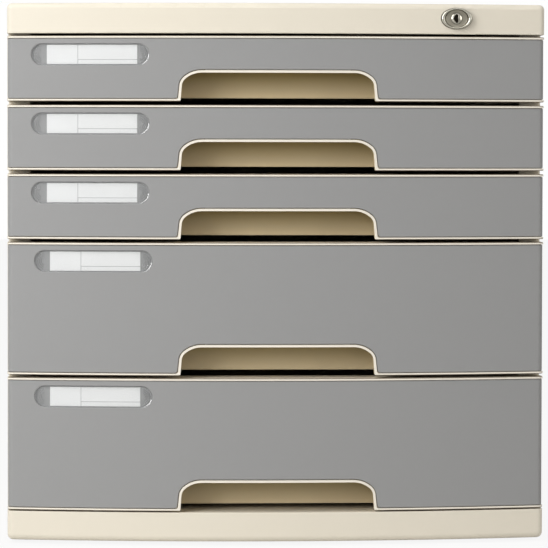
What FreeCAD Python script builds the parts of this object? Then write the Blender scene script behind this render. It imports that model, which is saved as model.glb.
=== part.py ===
import FreeCAD, Part
import Sketcher
import math
import os
import re

# Desktop file drawer: a free-standing cabinet with five lockable drawers.
# Frame: +X to the right, the drawers open towards -Y, +Z up, origin under the middle of the box.
# All sizes are millimetres.

doc = FreeCAD.newDocument("desktop_file_drawer")
Vector = FreeCAD.Vector
Rotation = FreeCAD.Rotation

# Driving dimensions

SIZES = {
    # whole cabinet, seen from above
    "width": 300.0,
    "depth": 350.0,
    "bow": 16.5,
    "corner": 3.5,
    "overrun": 8.0,
    # heights, from the table upwards
    "foot_height": 2.0,
    "base_height": 16.3,
    "base_gap": 0.7,
    "deep_face": 73.8,
    "deep_gap": 1.5,
    "mixed_gap": 1.7,
    "shallow_face": 36.3,
    "shallow_gap": 2.0,
    "cover_gap": 1.3,
    "band_height": 16.8,
    # top cover
    "cover_wall": 2.0,
    "cover_top": 2.5,
    "cover_edge": 2.8,
    "small_edge": 0.4,
    "cover_front_wall": 3.0,
    # base
    "base_wall": 4.0,
    "base_deck": 2.5,
    "base_edge": 3.2,
    "base_rib": 1.8,
    "base_rib_lift": 2.0,
    # side walls
    "skin": 2.2,
    "side_step": 0.6,
    "rebate_gap": 0.2,
    "post_width": 10.6,
    "post_thick": 2.5,
    "post_gap": 0.5,
    "rear_flange": 14.0,
    "rear_skin": 2.5,
    "runner_thick": 2.0,
    "runner_start": 10.0,
    "runner_bearing": 9.0,
    "side_edge": 1.5,
    "screw_boss": 7.6,
    "screw_boss_tall": 14.0,
    # drawer front moulding
    "front_depth": 12.0,
    "lip": 1.2,
    "lip_edge": 0.45,
    "seat": 2.6,
    "front_wall": 2.0,
    "back_wall": 2.5,
    "deck": 2.0,
    "front_flange": 1.5,
    "inner_corner": 1.0,
    "pocket_rib": 1.8,
    "pocket_rib_gap": 3.0,
    # finger notch
    "notch_half": 55.3,
    "notch_lean": 0.6,
    "notch_side": 8.2,
    "notch_height": 17.2,
    "notch_corner_wide": 12.4,
    "notch_corner_small": 7.0,
    "notch_flare": 1.4,
    "notch_foot": 1.1,
    "rim": 1.3,
    # drawer tray
    "side_play": 0.6,
    "ride_gap": 0.3,
    "floor_lift": 2.0,
    "tray_floor": 1.8,
    "tray_wall": 1.8,
    "tray_length": 312.0,
    "tray_drop": 3.5,
    "tray_corner": 4.0,
    "travel": 230.0,
    "stop_gap": 0.3,
    "lug_reach": 1.8,
    "lug_length": 6.0,
    "lug_ramp": 5.0,
    "lug_tall": 7.0,
    "lug_drop": 2.0,
    # grey cover panel
    "face_recess": 0.4,
    "panel_back": 2.45,
    "panel_gap": 0.2,
    # label
    "label_width": 66.2,
    "label_height": 12.0,
    "label_drop": 4.4,
    "label_inset_shallow": 45.9,
    "label_inset_deep": 47.6,
    "label_floor": 1.8,
    "label_sink": 0.9,
    "label_play": 0.15,
    "card_width": 50.7,
    "card_height": 10.7,
    "card_thick": 0.3,
    "card_shift": 0.9,
    # lock
    "lock_inset": 50.4,
    "lock_drop": 8.1,
    "bezel_half_width": 8.8,
    "bezel_half_height": 5.83,
    "bezel_sink": 0.23,
    "bezel_rim": 2.4,
    "bezel_bevel": 1.0,
    "bezel_bevel_inset": 0.7,
    "bezel_play": 0.2,
    "dish_half_width": 5.97,
    "dish_half_height": 4.68,
    "dish_deep": 1.2,
    "dish_slope": 0.7,
    "boss_half": 11.0,
    "boss_deep": 8.8,
    "barrel_radius": 4.6,
    "barrel_length": 18.4,
    "barrel_play": 0.1,
    "plug_radius": 3.1,
    "plug_play": 0.1,
    "plug_set_back": 0.3,
    "key_wide": 1.5,
    "key_tall": 4.4,
    "key_deep": 9.0,
    "nut_flat": 5.4,
    "nut_thick": 3.0,
    "cam_gap": 0.4,
    "cam_thick": 2.0,
    "cam_hub": 4.2,
    "cam_lobe": 2.1,
    "cam_throw": 4.0,
    "cam_square": 3.6,
    "cam_square_play": 0.1,
    "pin_radius": 1.1,
    "pin_play": 0.3,
    "pin_length": 6.0,
    "screw_head": 2.6,
    "screw_head_tall": 1.6,
    "screw_shank": 1.3,
    "screw_reach": 6.0,
    # lock bar
    "bar_wide": 5.2,
    "bar_thick": 1.5,
    "bar_clear": 0.6,
    "bar_setback": 1.9,
    "bar_top_web": 1.0,
    "bar_bottom_web": 3.0,
    "bar_tail": 14.0,
    "bar_notch_play": 0.8,
    "tab_thick": 1.8,
    "tab_half": 5.0,
    "tab_reach": 12.5,
    "tab_play": 0.5,
    "tab_notch": 5.7,
    "tab_drop": 16.0,
    "guide_arm": 1.2,
    "guide_play": 0.4,
    "guide_tall": 12.0,
    # feet and fasteners
    "foot_radius": 10.0,
    "foot_taper": 1.0,
    "foot_seat": 1.0,
    "foot_pad": 12.5,
    "foot_inset": 28.0,
    "case_screw_head": 3.2,
    "case_screw_head_tall": 1.7,
    "case_screw_shank": 1.5,
    "case_screw_length": 12.0,
    "case_screw_play": 0.2,
}

sheet = doc.addObject("Spreadsheet::Sheet", "Sizes")
for row, (alias, number) in enumerate(SIZES.items(), start=1):
    sheet.set(f"A{row}", alias)
    sheet.set(f"B{row}", str(number))
    sheet.setAlias(f"B{row}", alias)
doc.recompute()


def bound(text):
    """The expression with each size name pointing at its cell."""
    return re.sub(r"[a-z_]+", lambda word: "Sizes." + word[0] if word[0] in SIZES else word[0], str(text))


def value(text):
    """The present value of an expression."""
    return float(sheet.evalExpression(bound(text)))


# Places shared by many pieces, as expressions

HALF = "(width/2)"
FRONT_Y = "(-depth/2)"
ENDS_Y = "(bow - depth/2)"
REAR_Y = "(depth/2)"
BOW_RADIUS = "(((width/2)^2 + bow^2)/(2*bow))"
BOW_CENTRE = f"({BOW_RADIUS} - depth/2)"
BACK_PLANE = f"({ENDS_Y} + front_depth)"
FLANGE_Y = f"({BACK_PLANE} - front_flange)"
POST_Y = f"({BACK_PLANE} + post_gap)"
POST_BACK = f"({POST_Y} + post_thick)"
CASE_HALF = "(width/2 - cover_wall)"
SIDE_OUTER = "(width/2 - side_step)"
SKIN_INNER = f"({CASE_HALF} - skin)"
POST_INNER = f"({CASE_HALF} - post_width)"
TRAY_HALF = f"({POST_INNER} - side_play)"
CASE_REAR = f"({REAR_Y} - cover_wall)"
REAR_INNER = f"({CASE_REAR} - rear_skin)"
DECK_Z = "(foot_height + base_height)"
TRAY_REAR = f"({BACK_PLANE} + tray_length)"

# Drawers from the bottom up: number, face height, gap under the face, label centre

DRAWER_STACK = (
    (5, "deep_face", "base_gap", "label_inset_deep"),
    (4, "deep_face", "deep_gap", "label_inset_deep"),
    (3, "shallow_face", "mixed_gap", "label_inset_shallow"),
    (2, "shallow_face", "shallow_gap", "label_inset_shallow"),
    (1, "shallow_face", "shallow_gap", "label_inset_shallow"),
)
drawers = {}
level = DECK_Z
for number, face, gap, label_inset in DRAWER_STACK:
    bottom = f"({level} + {gap})"
    drawers[number] = {"bottom": bottom, "face": face, "label_x": f"({label_inset} - width/2)"}
    level = f"({level} + {gap} + {face})"
BAND_Z = f"({level} + cover_gap)"
TOP_Z = f"({BAND_Z} + band_height)"
CEILING = f"({TOP_Z} - cover_top)"
LOCK_X = "(width/2 - lock_inset)"
LOCK_Z = f"({TOP_Z} - lock_drop)"

# Lock bar and the drawer tabs that it catches

BAR_FRONT = f"({POST_BACK} + bar_setback)"
BAR_BACK = f"({BAR_FRONT} + bar_thick)"
BAR_INNER = f"({TRAY_HALF} + lug_reach + bar_clear)"
BAR_OUTER = f"({BAR_INNER} + bar_wide)"
TAB_X = f"({BAR_INNER} + bar_wide/2)"
PIN_OFFSET = "(cam_throw*sqrt(2)/2)"


def tab_height(number):
    """Height of the middle of a drawer's lock tab above the table."""
    drawer = drawers[number]
    return f"({drawer['bottom']} + {drawer['face']} - tab_drop)"


# Sketch and feature helpers

NEAR_SHARE = 1e-4

PLANE_ROLE = {"XY": "XY_Plane", "XZ": "XZ_Plane", "YZ": "YZ_Plane"}
OUTWARD = {"XY": "up", "XZ": "front", "YZ": "right"}


def new_body(label):
    body = doc.addObject("PartDesign::Body", label)
    body.Label = label
    return body


def new_sketch(body, name, plane, at):
    """An empty sketch on one of the body's origin planes, moved to the coordinate at."""
    sketch = body.newObject("Sketcher::SketchObject", name)
    role = PLANE_ROLE[plane]
    origin_plane = [item for item in body.Origin.OriginFeatures if item.Role == role][0]
    sketch.AttachmentSupport = [(origin_plane, "")]
    sketch.MapMode = "FlatFace"
    offset = f"-({at})" if plane == "XZ" else at
    sketch.setExpression("AttachmentOffset.Base.z", bound(offset))
    return sketch


def hold_point(sketch, geometry, point, x, y):
    """Ties a point of the sketch to the expressions x and y."""
    for kind, axis, text in (("DistanceX", -2, x), ("DistanceY", -1, y)):
        if value(text) == 0:
            sketch.addConstraint(Sketcher.Constraint("PointOnObject", geometry, point, axis))
            continue
        index = sketch.addConstraint(Sketcher.Constraint(kind, -1, 1, geometry, point, value(text)))
        sketch.setExpression(f"Constraints[{index}]", bound(text))


def add_outline(sketch, corners):
    """Closed outline. Each corner is (x, y) or (x, y, radius): the radius is that of the arc to the
    next corner, with its centre on the left, or on the right where the text starts with a minus."""
    places = [Vector(value(corner[0]), value(corner[1]), 0) for corner in corners]
    edges = []
    for index, corner in enumerate(corners):
        start = places[index]
        end = places[(index + 1) % len(corners)]
        if len(corner) == 2:
            number = sketch.addGeometry(Part.LineSegment(start, end), False)
            edges.append((number, 1, 2))
            continue
        text = corner[2]
        side = -1 if text.startswith("-") else 1
        text = text.lstrip("-")
        radius = value(text)
        chord = end - start
        left = Vector(-chord.y, chord.x, 0).normalize()
        height = math.sqrt(max(radius**2 - (chord.Length / 2) ** 2, 0))
        centre = (start + end) * 0.5 + left * (side * height)
        middle = centre - left * (side * radius)
        if side > 0:
            number = sketch.addGeometry(Part.Arc(start, middle, end), False)
            edges.append((number, 1, 2))
        else:
            number = sketch.addGeometry(Part.Arc(end, middle, start), False)
            edges.append((number, 2, 1))
        held = sketch.addConstraint(Sketcher.Constraint("Radius", number, radius))
        sketch.setExpression(f"Constraints[{held}]", bound(text))
    for index, corner in enumerate(corners):
        before = edges[index - 1]
        after = edges[index]
        sketch.addConstraint(Sketcher.Constraint("Coincident", before[0], before[2], after[0], after[1]))
        hold_point(sketch, after[0], after[1], corner[0], corner[1])
    return sketch


def add_rectangle(sketch, x_low, y_low, x_high, y_high):
    return add_outline(sketch, [(x_low, y_low), (x_high, y_low), (x_high, y_high), (x_low, y_high)])


def add_boss(sketch, x, y, half):
    """A square of the given half width round a point."""
    return add_rectangle(sketch, f"({x} - {half})", f"({y} - {half})", f"({x} + {half})", f"({y} + {half})")


def add_circle(sketch, x, y, radius):
    circle = Part.Circle(Vector(value(x), value(y), 0), Vector(0, 0, 1), value(radius))
    number = sketch.addGeometry(circle, False)
    hold_point(sketch, number, 3, x, y)
    index = sketch.addConstraint(Sketcher.Constraint("Radius", number, value(radius)))
    sketch.setExpression(f"Constraints[{index}]", bound(radius))
    return sketch


def pad(body, name, sketch, length, towards):
    """Adds the sketch's area swept by length towards one side."""
    plane = sketch_plane(sketch)
    feature = body.newObject("PartDesign::Pad", name)
    feature.Profile = sketch
    feature.Reversed = OUTWARD[plane] != towards
    feature.setExpression("Length", bound(length))
    doc.recompute()
    sketch.Visibility = False
    return feature


def pocket(body, name, sketch, length, towards):
    """Removes the sketch's area swept by length towards one side."""
    before = body.Shape.Volume
    plane = sketch_plane(sketch)
    feature = body.newObject("PartDesign::Pocket", name)
    feature.Profile = sketch
    feature.Reversed = OUTWARD[plane] == towards
    feature.setExpression("Length", bound(length))
    doc.recompute()
    sketch.Visibility = False
    if not body.Shape.Volume < before:
        raise RuntimeError(f"{body.Label}: {name} cuts nothing")
    return feature


def sketch_plane(sketch):
    role = sketch.AttachmentSupport[0][0].Role
    return [plane for plane, text in PLANE_ROLE.items() if text == role][0]


def round_edges(body, name, radius, wanted):
    """Rounds the edges of the body's tip for which wanted(edge) is true."""
    base = body.Tip
    names = [f"Edge{i}" for i, edge in enumerate(base.Shape.Edges, start=1) if wanted(edge)]
    feature = body.newObject("PartDesign::Fillet", name)
    feature.Base = (base, names)
    feature.setExpression("Radius", bound(radius))
    doc.recompute()
    return feature


# Outlines shared by several pieces


def bow_line(x, inset):
    """The y of the bowed front at x, moved back by inset."""
    return f"({BOW_CENTRE} - sqrt(({BOW_RADIUS} - ({inset}))^2 - ({x})^2))"


def bowed_run(inset, back, corner):
    """From the left rear, round the bowed front, to the right rear, seen from above."""
    half = f"(width/2 - ({inset}))"
    radius = f"({BOW_RADIUS} - ({inset}))"
    turn_x = f"({half} - {corner})"
    turn_y = f"({BOW_CENTRE} - sqrt(({radius} - {corner})^2 - {turn_x}^2))"
    scale = f"({radius}/({radius} - {corner}))"
    join_x = f"({turn_x}*{scale})"
    join_y = f"({BOW_CENTRE} + ({turn_y} - {BOW_CENTRE})*{scale})"
    return [
        (f"-{half}", back),
        (f"-{half}", turn_y, corner),
        (f"-{join_x}", join_y, radius),
        (join_x, join_y, corner),
        (half, turn_y),
        (half, back),
    ]


def rounded_rear(inset, corner):
    """The cabinet's whole plan with rounded rear corners."""
    back = f"({REAR_Y} - ({inset}))"
    half = f"(width/2 - ({inset}))"
    run = bowed_run(inset, f"({back} - {corner})", corner)
    run[-1] = (half, f"({back} - {corner})", corner)
    return run + [(f"({half} - {corner})", back), (f"-({half} - {corner})", back, corner)]


def front_of_bow(inset, back, corner):
    """The region in front of the bowed line, for trimming to it."""
    wide = "(width/2 + overrun)"
    near = f"({FRONT_Y} - overrun)"
    return bowed_run(inset, back, corner) + [(wide, back), (wide, near), (f"-{wide}", near), (f"-{wide}", back)]


def bow_strip(left, right, near, far):
    """A strip that follows the bow from x left to x right, between two insets."""
    return [
        (left, bow_line(left, near), f"({BOW_RADIUS} - ({near}))"),
        (right, bow_line(right, near)),
        (right, bow_line(right, far), f"-({BOW_RADIUS} - ({far}))"),
        (left, bow_line(left, far)),
    ]


def notch_outline(grow, foot, flare, drop=None):
    """The finger notch seen from the front, grown outward by grow. Its sides turn outward with the
    radius flare at the height foot, and where drop is given it goes on downward by that much."""
    low = f"(notch_half + {grow})"
    side = f"(notch_half - notch_lean + {grow})"
    top = f"(notch_height + {grow})"
    wide = f"(notch_corner_wide + {grow})"
    tall = f"(notch_height - notch_side + {grow})"
    small = f"(notch_corner_small + {grow})"
    large = f"((({wide} - {small})^2 + {tall}^2 - {small}^2)/(2*({tall} - {small})))"
    stretch = f"({small}/({large} - {small}))"
    join_x = f"({side} - {small} + ({wide} - {small})*{stretch})"
    join_z = f"(notch_side + ({large} - {tall})*{stretch})"
    flat = f"({side} - {wide})"
    right = [
        (side, "notch_side", small),
        (join_x, join_z, large),
        (flat, top),
    ]
    left = [
        (f"-{flat}", top, large),
        (f"-{join_x}", join_z, small),
        (f"-{side}", "notch_side"),
    ]
    out = f"({low} + {flare})"
    bend = f"({foot} + {flare})"
    sides = [(out, foot, f"-{flare}"), (low, bend)] + right + left + [(f"-{low}", bend, f"-{flare}")]
    if drop is None:
        return [(f"-{out}", foot)] + sides
    under = f"({foot} - {drop})"
    return [(f"-{out}", under), (out, under)] + sides + [(f"-{out}", foot)]


def pill_outline(x, half_width, half_height, z):
    """A bar with round ends, seen from the front."""
    straight = f"({half_width} - {half_height})"
    return [
        (f"({x} - {straight})", f"({z} - {half_height})"),
        (f"({x} + {straight})", f"({z} - {half_height})", half_height),
        (f"({x} + {half_width})", z, half_height),
        (f"({x} + {straight})", f"({z} + {half_height})"),
        (f"({x} - {straight})", f"({z} + {half_height})", half_height),
        (f"({x} - {half_width})", z, half_height),
    ]


# Case


def make_top_panel():
    body = new_body("top_panel_moulding")
    body.setExpression("Placement.Base.z", bound(BAND_Z))
    plan = add_outline(new_sketch(body, "cover_plan", "XY", "0"), rounded_rear("0", "corner"))
    pad(body, "cover_block", plan, "band_height", "up")
    top = value("band_height")
    near = top * NEAR_SHARE
    round_edges(body, "cover_round", "cover_edge", lambda edge: abs(edge.BoundBox.ZMin - top) < near)
    round_edges(body, "cover_foot_round", "small_edge", lambda edge: edge.BoundBox.ZMax < near)
    roof = "(band_height - cover_top)"
    back = f"({REAR_Y} - cover_wall)"
    cavity = new_sketch(body, "cover_cavity", "XY", "0")
    front = f"{bow_line(CASE_HALF, 'cover_front_wall')}"
    add_outline(
        cavity,
        [
            (f"-{CASE_HALF}", front, f"({BOW_RADIUS} - cover_front_wall)"),
            (CASE_HALF, front),
            (CASE_HALF, back),
            (f"-{CASE_HALF}", back),
        ],
    )
    pocket(body, "cover_hollow", cavity, roof, "up")
    lock_z = "(band_height - lock_drop)"
    boss = new_sketch(body, "lock_boss_outline", "XZ", NUT_Y)
    add_rectangle(boss, f"({LOCK_X} - boss_half)", "0", f"({LOCK_X} + boss_half)", roof)
    pad(body, "lock_boss", boss, "boss_deep + cover_front_wall/2", "front")
    trim = add_outline(new_sketch(body, "boss_trim_plan", "XY", "0"), front_of_bow("0", ENDS_Y, "corner"))
    pocket(body, "boss_trim", trim, "band_height", "up")
    bore = add_circle(new_sketch(body, "barrel_bore_outline", "XZ", FRONT_Y), LOCK_X, lock_z, "(barrel_radius + barrel_play)")
    pocket(body, "barrel_bore", bore, f"{POST_Y} - {FRONT_Y}", "rear")
    wide = "bezel_half_width + bezel_play"
    tall = "bezel_half_height + bezel_play"
    recess = loft("bezel_recess", [ellipse("recess_floor", wide, tall, SEAT_Y), ellipse("recess_mouth", wide, tall, FRONT_Y)])
    return cut("top_panel", body, recess)


def make_side(label, side):
    """One side wall. side is 1 on the right and -1 on the left."""
    body = new_body(label)
    body.setExpression("Placement.Base.z", bound(DECK_Z))
    tall = f"({CEILING} - {DECK_Z})"

    def across(text):
        return text if side > 0 else f"-{text}"

    wall = new_sketch(body, "wall_plan", "XY", "0")
    corners = [
        (across(SIDE_OUTER), POST_Y),
        (across(SIDE_OUTER), REAR_INNER),
        (across(f"({CASE_HALF} - rear_flange)"), REAR_INNER),
        (across(f"({CASE_HALF} - rear_flange)"), f"({REAR_INNER} - skin)"),
        (across(SKIN_INNER), f"({REAR_INNER} - skin)"),
        (across(SKIN_INNER), POST_BACK),
        (across(POST_INNER), POST_BACK),
        (across(POST_INNER), POST_Y),
    ]
    add_outline(wall, corners if side > 0 else corners[::-1])
    pad(body, "wall", wall, tall, "up")
    rebate = new_sketch(body, "cover_rebate_plan", "XY", f"({BAND_Z} - {DECK_Z} - rebate_gap)")
    low_x, high_x = (CASE_HALF, f"({HALF} + overrun)") if side > 0 else (f"-({HALF} + overrun)", f"-{CASE_HALF}")
    add_rectangle(rebate, low_x, f"({POST_Y} - overrun)", high_x, f"({REAR_Y} + overrun)")
    pocket(body, "cover_rebate", rebate, tall, "up")
    runners = new_sketch(body, "runner_section", "XZ", f"({POST_BACK} + runner_start)")
    inner = f"({TRAY_HALF} - runner_bearing)"
    for drawer in drawers.values():
        upper = f"({drawer['bottom']} - {DECK_Z} + floor_lift - ride_gap)"
        lower = f"({upper} - runner_thick)"
        if drawer is drawers[5]:
            lower = "0"
        ends = [inner, f"({SKIN_INNER} + skin/2)"]
        if side > 0:
            add_rectangle(runners, ends[0], lower, ends[1], upper)
        else:
            add_rectangle(runners, f"-{ends[1]}", lower, f"-{ends[0]}", upper)
    pad(body, "runners", runners, f"{REAR_INNER} - {POST_BACK} - runner_start - skin", "rear")
    bosses = new_sketch(body, "screw_boss_plan", "XY", "0")
    for y in base_screw_places():
        near = f"({SKIN_INNER} - screw_boss)"
        far = f"({SKIN_INNER} + skin/2)"
        low_x, high_x = (near, far) if side > 0 else (f"-{far}", f"-{near}")
        add_rectangle(bosses, low_x, f"({y} - screw_boss/2)", high_x, f"({y} + screw_boss/2)")
    pad(body, "screw_bosses", bosses, "screw_boss_tall", "up")
    holes = new_sketch(body, "boss_holes_plan", "XY", "0")
    for y in base_screw_places():
        add_circle(holes, across(base_screw_x()), y, "case_screw_shank")
    pocket(body, "boss_holes", holes, "case_screw_length", "up")
    rear_bosses = new_sketch(body, "rear_boss_outline", "XZ", REAR_INNER)
    for z in rear_screw_places():
        add_boss(rear_bosses, across(rear_screw_x()), f"({z} - {DECK_Z})", "screw_boss/2")
    pad(body, "rear_bosses", rear_bosses, "case_screw_length", "front")
    rear_holes = new_sketch(body, "rear_holes_outline", "XZ", REAR_INNER)
    for z in rear_screw_places():
        add_circle(rear_holes, across(rear_screw_x()), f"({z} - {DECK_Z})", "case_screw_shank")
    pocket(body, "rear_holes", rear_holes, "case_screw_length - rear_skin", "front")
    if side > 0:
        slots = new_sketch(body, "tab_slots_outline", "XZ", POST_Y)
        for number in drawers:
            z = f"({tab_height(number)} - {DECK_Z})"
            reach = "(tab_thick/2 + tab_play)"
            high = "(tab_half + tab_play)"
            add_rectangle(slots, f"({TAB_X} - {reach})", f"({z} - {high})", f"({TAB_X} + {reach})", f"({z} + {high})")
        pocket(body, "tab_slots", slots, "post_thick", "rear")
    outer = value(SIDE_OUTER)
    near = outer * NEAR_SHARE

    def front_corner(edge):
        span = edge.BoundBox
        upright = span.XLength < near and span.YLength < near
        return upright and abs(abs(span.XMin) - outer) < near and span.YMin < 0

    round_edges(body, "side_round", "side_edge", front_corner)
    return body


def base_screw_x():
    return f"({SKIN_INNER} - screw_boss/2)"


def base_screw_places():
    """The y of each screw from the base into a side wall."""
    return (f"({POST_BACK} + runner_start + foot_inset)", f"({REAR_INNER} - foot_inset)")


def rear_screw_x():
    return f"({CASE_HALF} - rear_flange/2)"


def rear_screw_places():
    """The height of each rear screw above the table."""
    return (f"({DECK_Z} + rear_flange)", f"({BAND_Z} - rear_flange)")


def make_rear_panel():
    body = new_body("rear_panel")
    body.setExpression("Placement.Base.z", bound(DECK_Z))
    tall = f"({CEILING} - {DECK_Z})"
    panel = add_rectangle(new_sketch(body, "panel_plan", "XY", "0"), f"-{CASE_HALF}", REAR_INNER, CASE_HALF, CASE_REAR)
    pad(body, "panel", panel, tall, "up")
    holes = new_sketch(body, "screw_holes_outline", "XZ", CASE_REAR)
    for z in rear_screw_places():
        for sign in ("-", ""):
            add_circle(holes, f"{sign}{rear_screw_x()}", f"({z} - {DECK_Z})", "(case_screw_shank + case_screw_play)")
    pocket(body, "screw_holes", holes, "rear_skin", "front")
    return body


def make_base_plate():
    body = new_body("base_plate")
    body.setExpression("Placement.Base.z", bound("foot_height"))
    plan = add_outline(new_sketch(body, "base_plan", "XY", "0"), rounded_rear("0", "corner"))
    pad(body, "base_block", plan, "base_height", "up")
    tall = value("base_height")
    near = tall * NEAR_SHARE
    round_edges(body, "base_round", "base_edge", lambda edge: edge.BoundBox.ZMax < near)
    round_edges(body, "base_top_round", "small_edge", lambda edge: edge.BoundBox.ZMin > tall - near)
    cavity = add_outline(new_sketch(body, "base_cavity", "XY", "0"), rounded_rear("base_wall", "inner_corner"))
    pocket(body, "base_hollow", cavity, "base_height - base_deck", "up")
    ribs = new_sketch(body, "rib_plan", "XY", "base_rib_lift")
    front = f"({FRONT_Y} + bow/2 + base_wall)"
    rear = f"({REAR_Y} - base_wall/2)"
    for share in RIB_SHARES:
        x = f"({share}*width)"
        add_rectangle(ribs, f"({x} - base_rib/2)", front, f"({x} + base_rib/2)", rear)
    pad(body, "ribs", ribs, "base_height - base_rib_lift - base_deck/2", "up")
    pads = new_sketch(body, "foot_pad_plan", "XY", "0")
    for x, y in foot_places():
        add_boss(pads, x, y, "foot_pad")
    pad(body, "foot_pads", pads, "base_height - base_deck/2", "up")
    seats = new_sketch(body, "foot_seat_plan", "XY", "0")
    for x, y in foot_places():
        add_circle(seats, x, y, "foot_radius + panel_gap")
    pocket(body, "foot_seats", seats, "foot_seat", "up")
    bosses = new_sketch(body, "screw_boss_plan", "XY", "base_height/2")
    holes = new_sketch(body, "screw_hole_plan", "XY", "base_height/2")
    for y in base_screw_places():
        for sign in ("-", ""):
            add_boss(bosses, f"{sign}{base_screw_x()}", y, "screw_boss/2")
            add_circle(holes, f"{sign}{base_screw_x()}", y, "(case_screw_shank + case_screw_play)")
    pad(body, "screw_bosses", bosses, "base_height/2 - base_deck/2", "up")
    pocket(body, "screw_holes", holes, "base_height/2", "up")
    return body


RIB_SHARES = (-0.25, 0, 0.25)


def foot_places():
    x = f"({HALF} - foot_inset)"
    front = f"({ENDS_Y} + foot_inset)"
    rear = f"({REAR_Y} - foot_inset)"
    return ((f"-{x}", front), (x, front), (f"-{x}", rear), (x, rear))


def solid(kind, name, sizes, place=(), turn=None):
    """A Part primitive with its sizes and place bound to the sheet."""
    item = doc.addObject(kind, name)
    if turn is not None:
        item.Placement = FreeCAD.Placement(Vector(), turn)
    for field, text in sizes.items():
        item.setExpression(field, bound(text))
    for axis, text in zip("xyz", place):
        item.setExpression(f"Placement.Base.{axis}", bound(text))
    return item


def fuse(name, items):
    item = doc.addObject("Part::MultiFuse", name)
    item.Shapes = items
    return item


def cut(name, base, tool):
    item = doc.addObject("Part::Cut", name)
    item.Base = base
    item.Tool = tool
    return item


def group(name, items):
    item = doc.addObject("Part::Compound", name)
    item.Links = items
    return item


TO_FRONT = Rotation(Vector(1, 0, 0), 90)
TO_REAR = Rotation(Vector(1, 0, 0), -90)


def make_feet():
    feet = []
    for count, (x, y) in enumerate(foot_places(), start=1):
        sizes = {"Radius1": "foot_radius - foot_taper", "Radius2": "foot_radius", "Height": "foot_height + foot_seat"}
        feet.append(solid("Part::Cone", f"foot_{count}", sizes, (x, y, "0")))
    return group("rubber_feet", feet)


SHANK_SIDES = 6


def make_screw(name, place, turn, sink):
    """A pan-head screw whose head's underside is at the place, its shank along the turned Z axis."""
    head_sizes = {"Radius": "case_screw_head", "Height": "case_screw_head_tall"}
    shank_sizes = {"Circumradius": "case_screw_shank - case_screw_play", "Height": "case_screw_length"}
    shank = solid("Part::Prism", name + "_shank", shank_sizes, place, turn)
    shank.Polygon = SHANK_SIDES
    head = solid("Part::Cylinder", name + "_head", head_sizes, sink, turn)
    return fuse(name, [shank, head])


def make_screws():
    base = []
    rear = []
    for sign in ("-", ""):
        for y in base_screw_places():
            x = f"{sign}{base_screw_x()}"
            under = "(foot_height + base_height/2)"
            name = f"base_screw_{len(base) + 1}"
            base.append(make_screw(name, (x, y, under), Rotation(), (x, y, f"({under} - case_screw_head_tall)")))
        for z in rear_screw_places():
            x = f"{sign}{rear_screw_x()}"
            name = f"rear_screw_{len(rear) + 1}"
            head = (x, f"({CASE_REAR} + case_screw_head_tall)", z)
            rear.append(make_screw(name, (x, CASE_REAR, z), TO_FRONT, head))
    return [group("base_screws", base), group("rear_screws", rear)]


# Lock

NUT_SIDES = 6
SEAT_Y = f"({bow_line(f'({LOCK_X} + bezel_half_width)', '0')} + bezel_sink)"
BEZEL_FACE = f"({SEAT_Y} - bezel_rim - bezel_bevel)"
DISH_FLOOR = f"({BEZEL_FACE} + dish_deep)"
BARREL_END = f"({SEAT_Y} + barrel_length)"
NUT_Y = f"({SEAT_Y} + boss_deep)"
CAM_Y = f"({BARREL_END} + cam_gap)"
CAM_BACK = f"({CAM_Y} + cam_thick)"


def ellipse(name, half_width, half_height, y):
    item = doc.addObject("Part::Ellipse", name)
    item.Placement = FreeCAD.Placement(Vector(), TO_REAR)
    item.setExpression("MajorRadius", bound(half_width))
    item.setExpression("MinorRadius", bound(half_height))
    for axis, text in zip("xyz", (LOCK_X, y, LOCK_Z)):
        item.setExpression(f"Placement.Base.{axis}", bound(text))
    return item


def loft(name, sections):
    item = doc.addObject("Part::Loft", name)
    item.Sections = sections
    item.Solid = True
    item.Ruled = True
    return item


def make_lock_housing():
    rim = loft(
        "bezel_rim_loft",
        [
            ellipse("bezel_foot", "bezel_half_width", "bezel_half_height", SEAT_Y),
            ellipse("bezel_shoulder", "bezel_half_width", "bezel_half_height", f"({SEAT_Y} - bezel_rim)"),
            ellipse("bezel_face", "bezel_half_width - bezel_bevel_inset", "bezel_half_height - bezel_bevel_inset", BEZEL_FACE),
        ],
    )
    dish = loft(
        "dish_loft",
        [
            ellipse("dish_mouth", "dish_half_width", "dish_half_height", BEZEL_FACE),
            ellipse("dish_floor", "dish_half_width - dish_slope", "dish_half_height - dish_slope", DISH_FLOOR),
        ],
    )
    barrel = solid(
        "Part::Cylinder",
        "barrel",
        {"Radius": "barrel_radius", "Height": f"{BARREL_END} - {SEAT_Y} + bezel_rim/2"},
        (LOCK_X, f"({SEAT_Y} - bezel_rim/2)", LOCK_Z),
        TO_REAR,
    )
    bore = solid(
        "Part::Cylinder",
        "plug_bore",
        {"Radius": "plug_radius + plug_play", "Height": f"{BARREL_END} - {BEZEL_FACE} + overrun"},
        (LOCK_X, f"({BEZEL_FACE} - overrun/2)", LOCK_Z),
        TO_REAR,
    )
    return cut("lock_housing", cut("lock_housing_dished", fuse("lock_housing_raw", [rim, barrel]), dish), bore)


def make_lock_nut():
    prism = solid(
        "Part::Prism",
        "nut_hexagon",
        {"Circumradius": "nut_flat*2/sqrt(3)", "Height": "nut_thick"},
        (LOCK_X, NUT_Y, LOCK_Z),
        TO_REAR,
    )
    prism.Polygon = NUT_SIDES
    hole = solid(
        "Part::Cylinder",
        "nut_hole",
        {"Radius": "barrel_radius + barrel_play", "Height": "nut_thick + overrun"},
        (LOCK_X, f"({NUT_Y} - overrun/2)", LOCK_Z),
        TO_REAR,
    )
    return cut("lock_nut", prism, hole)


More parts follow.
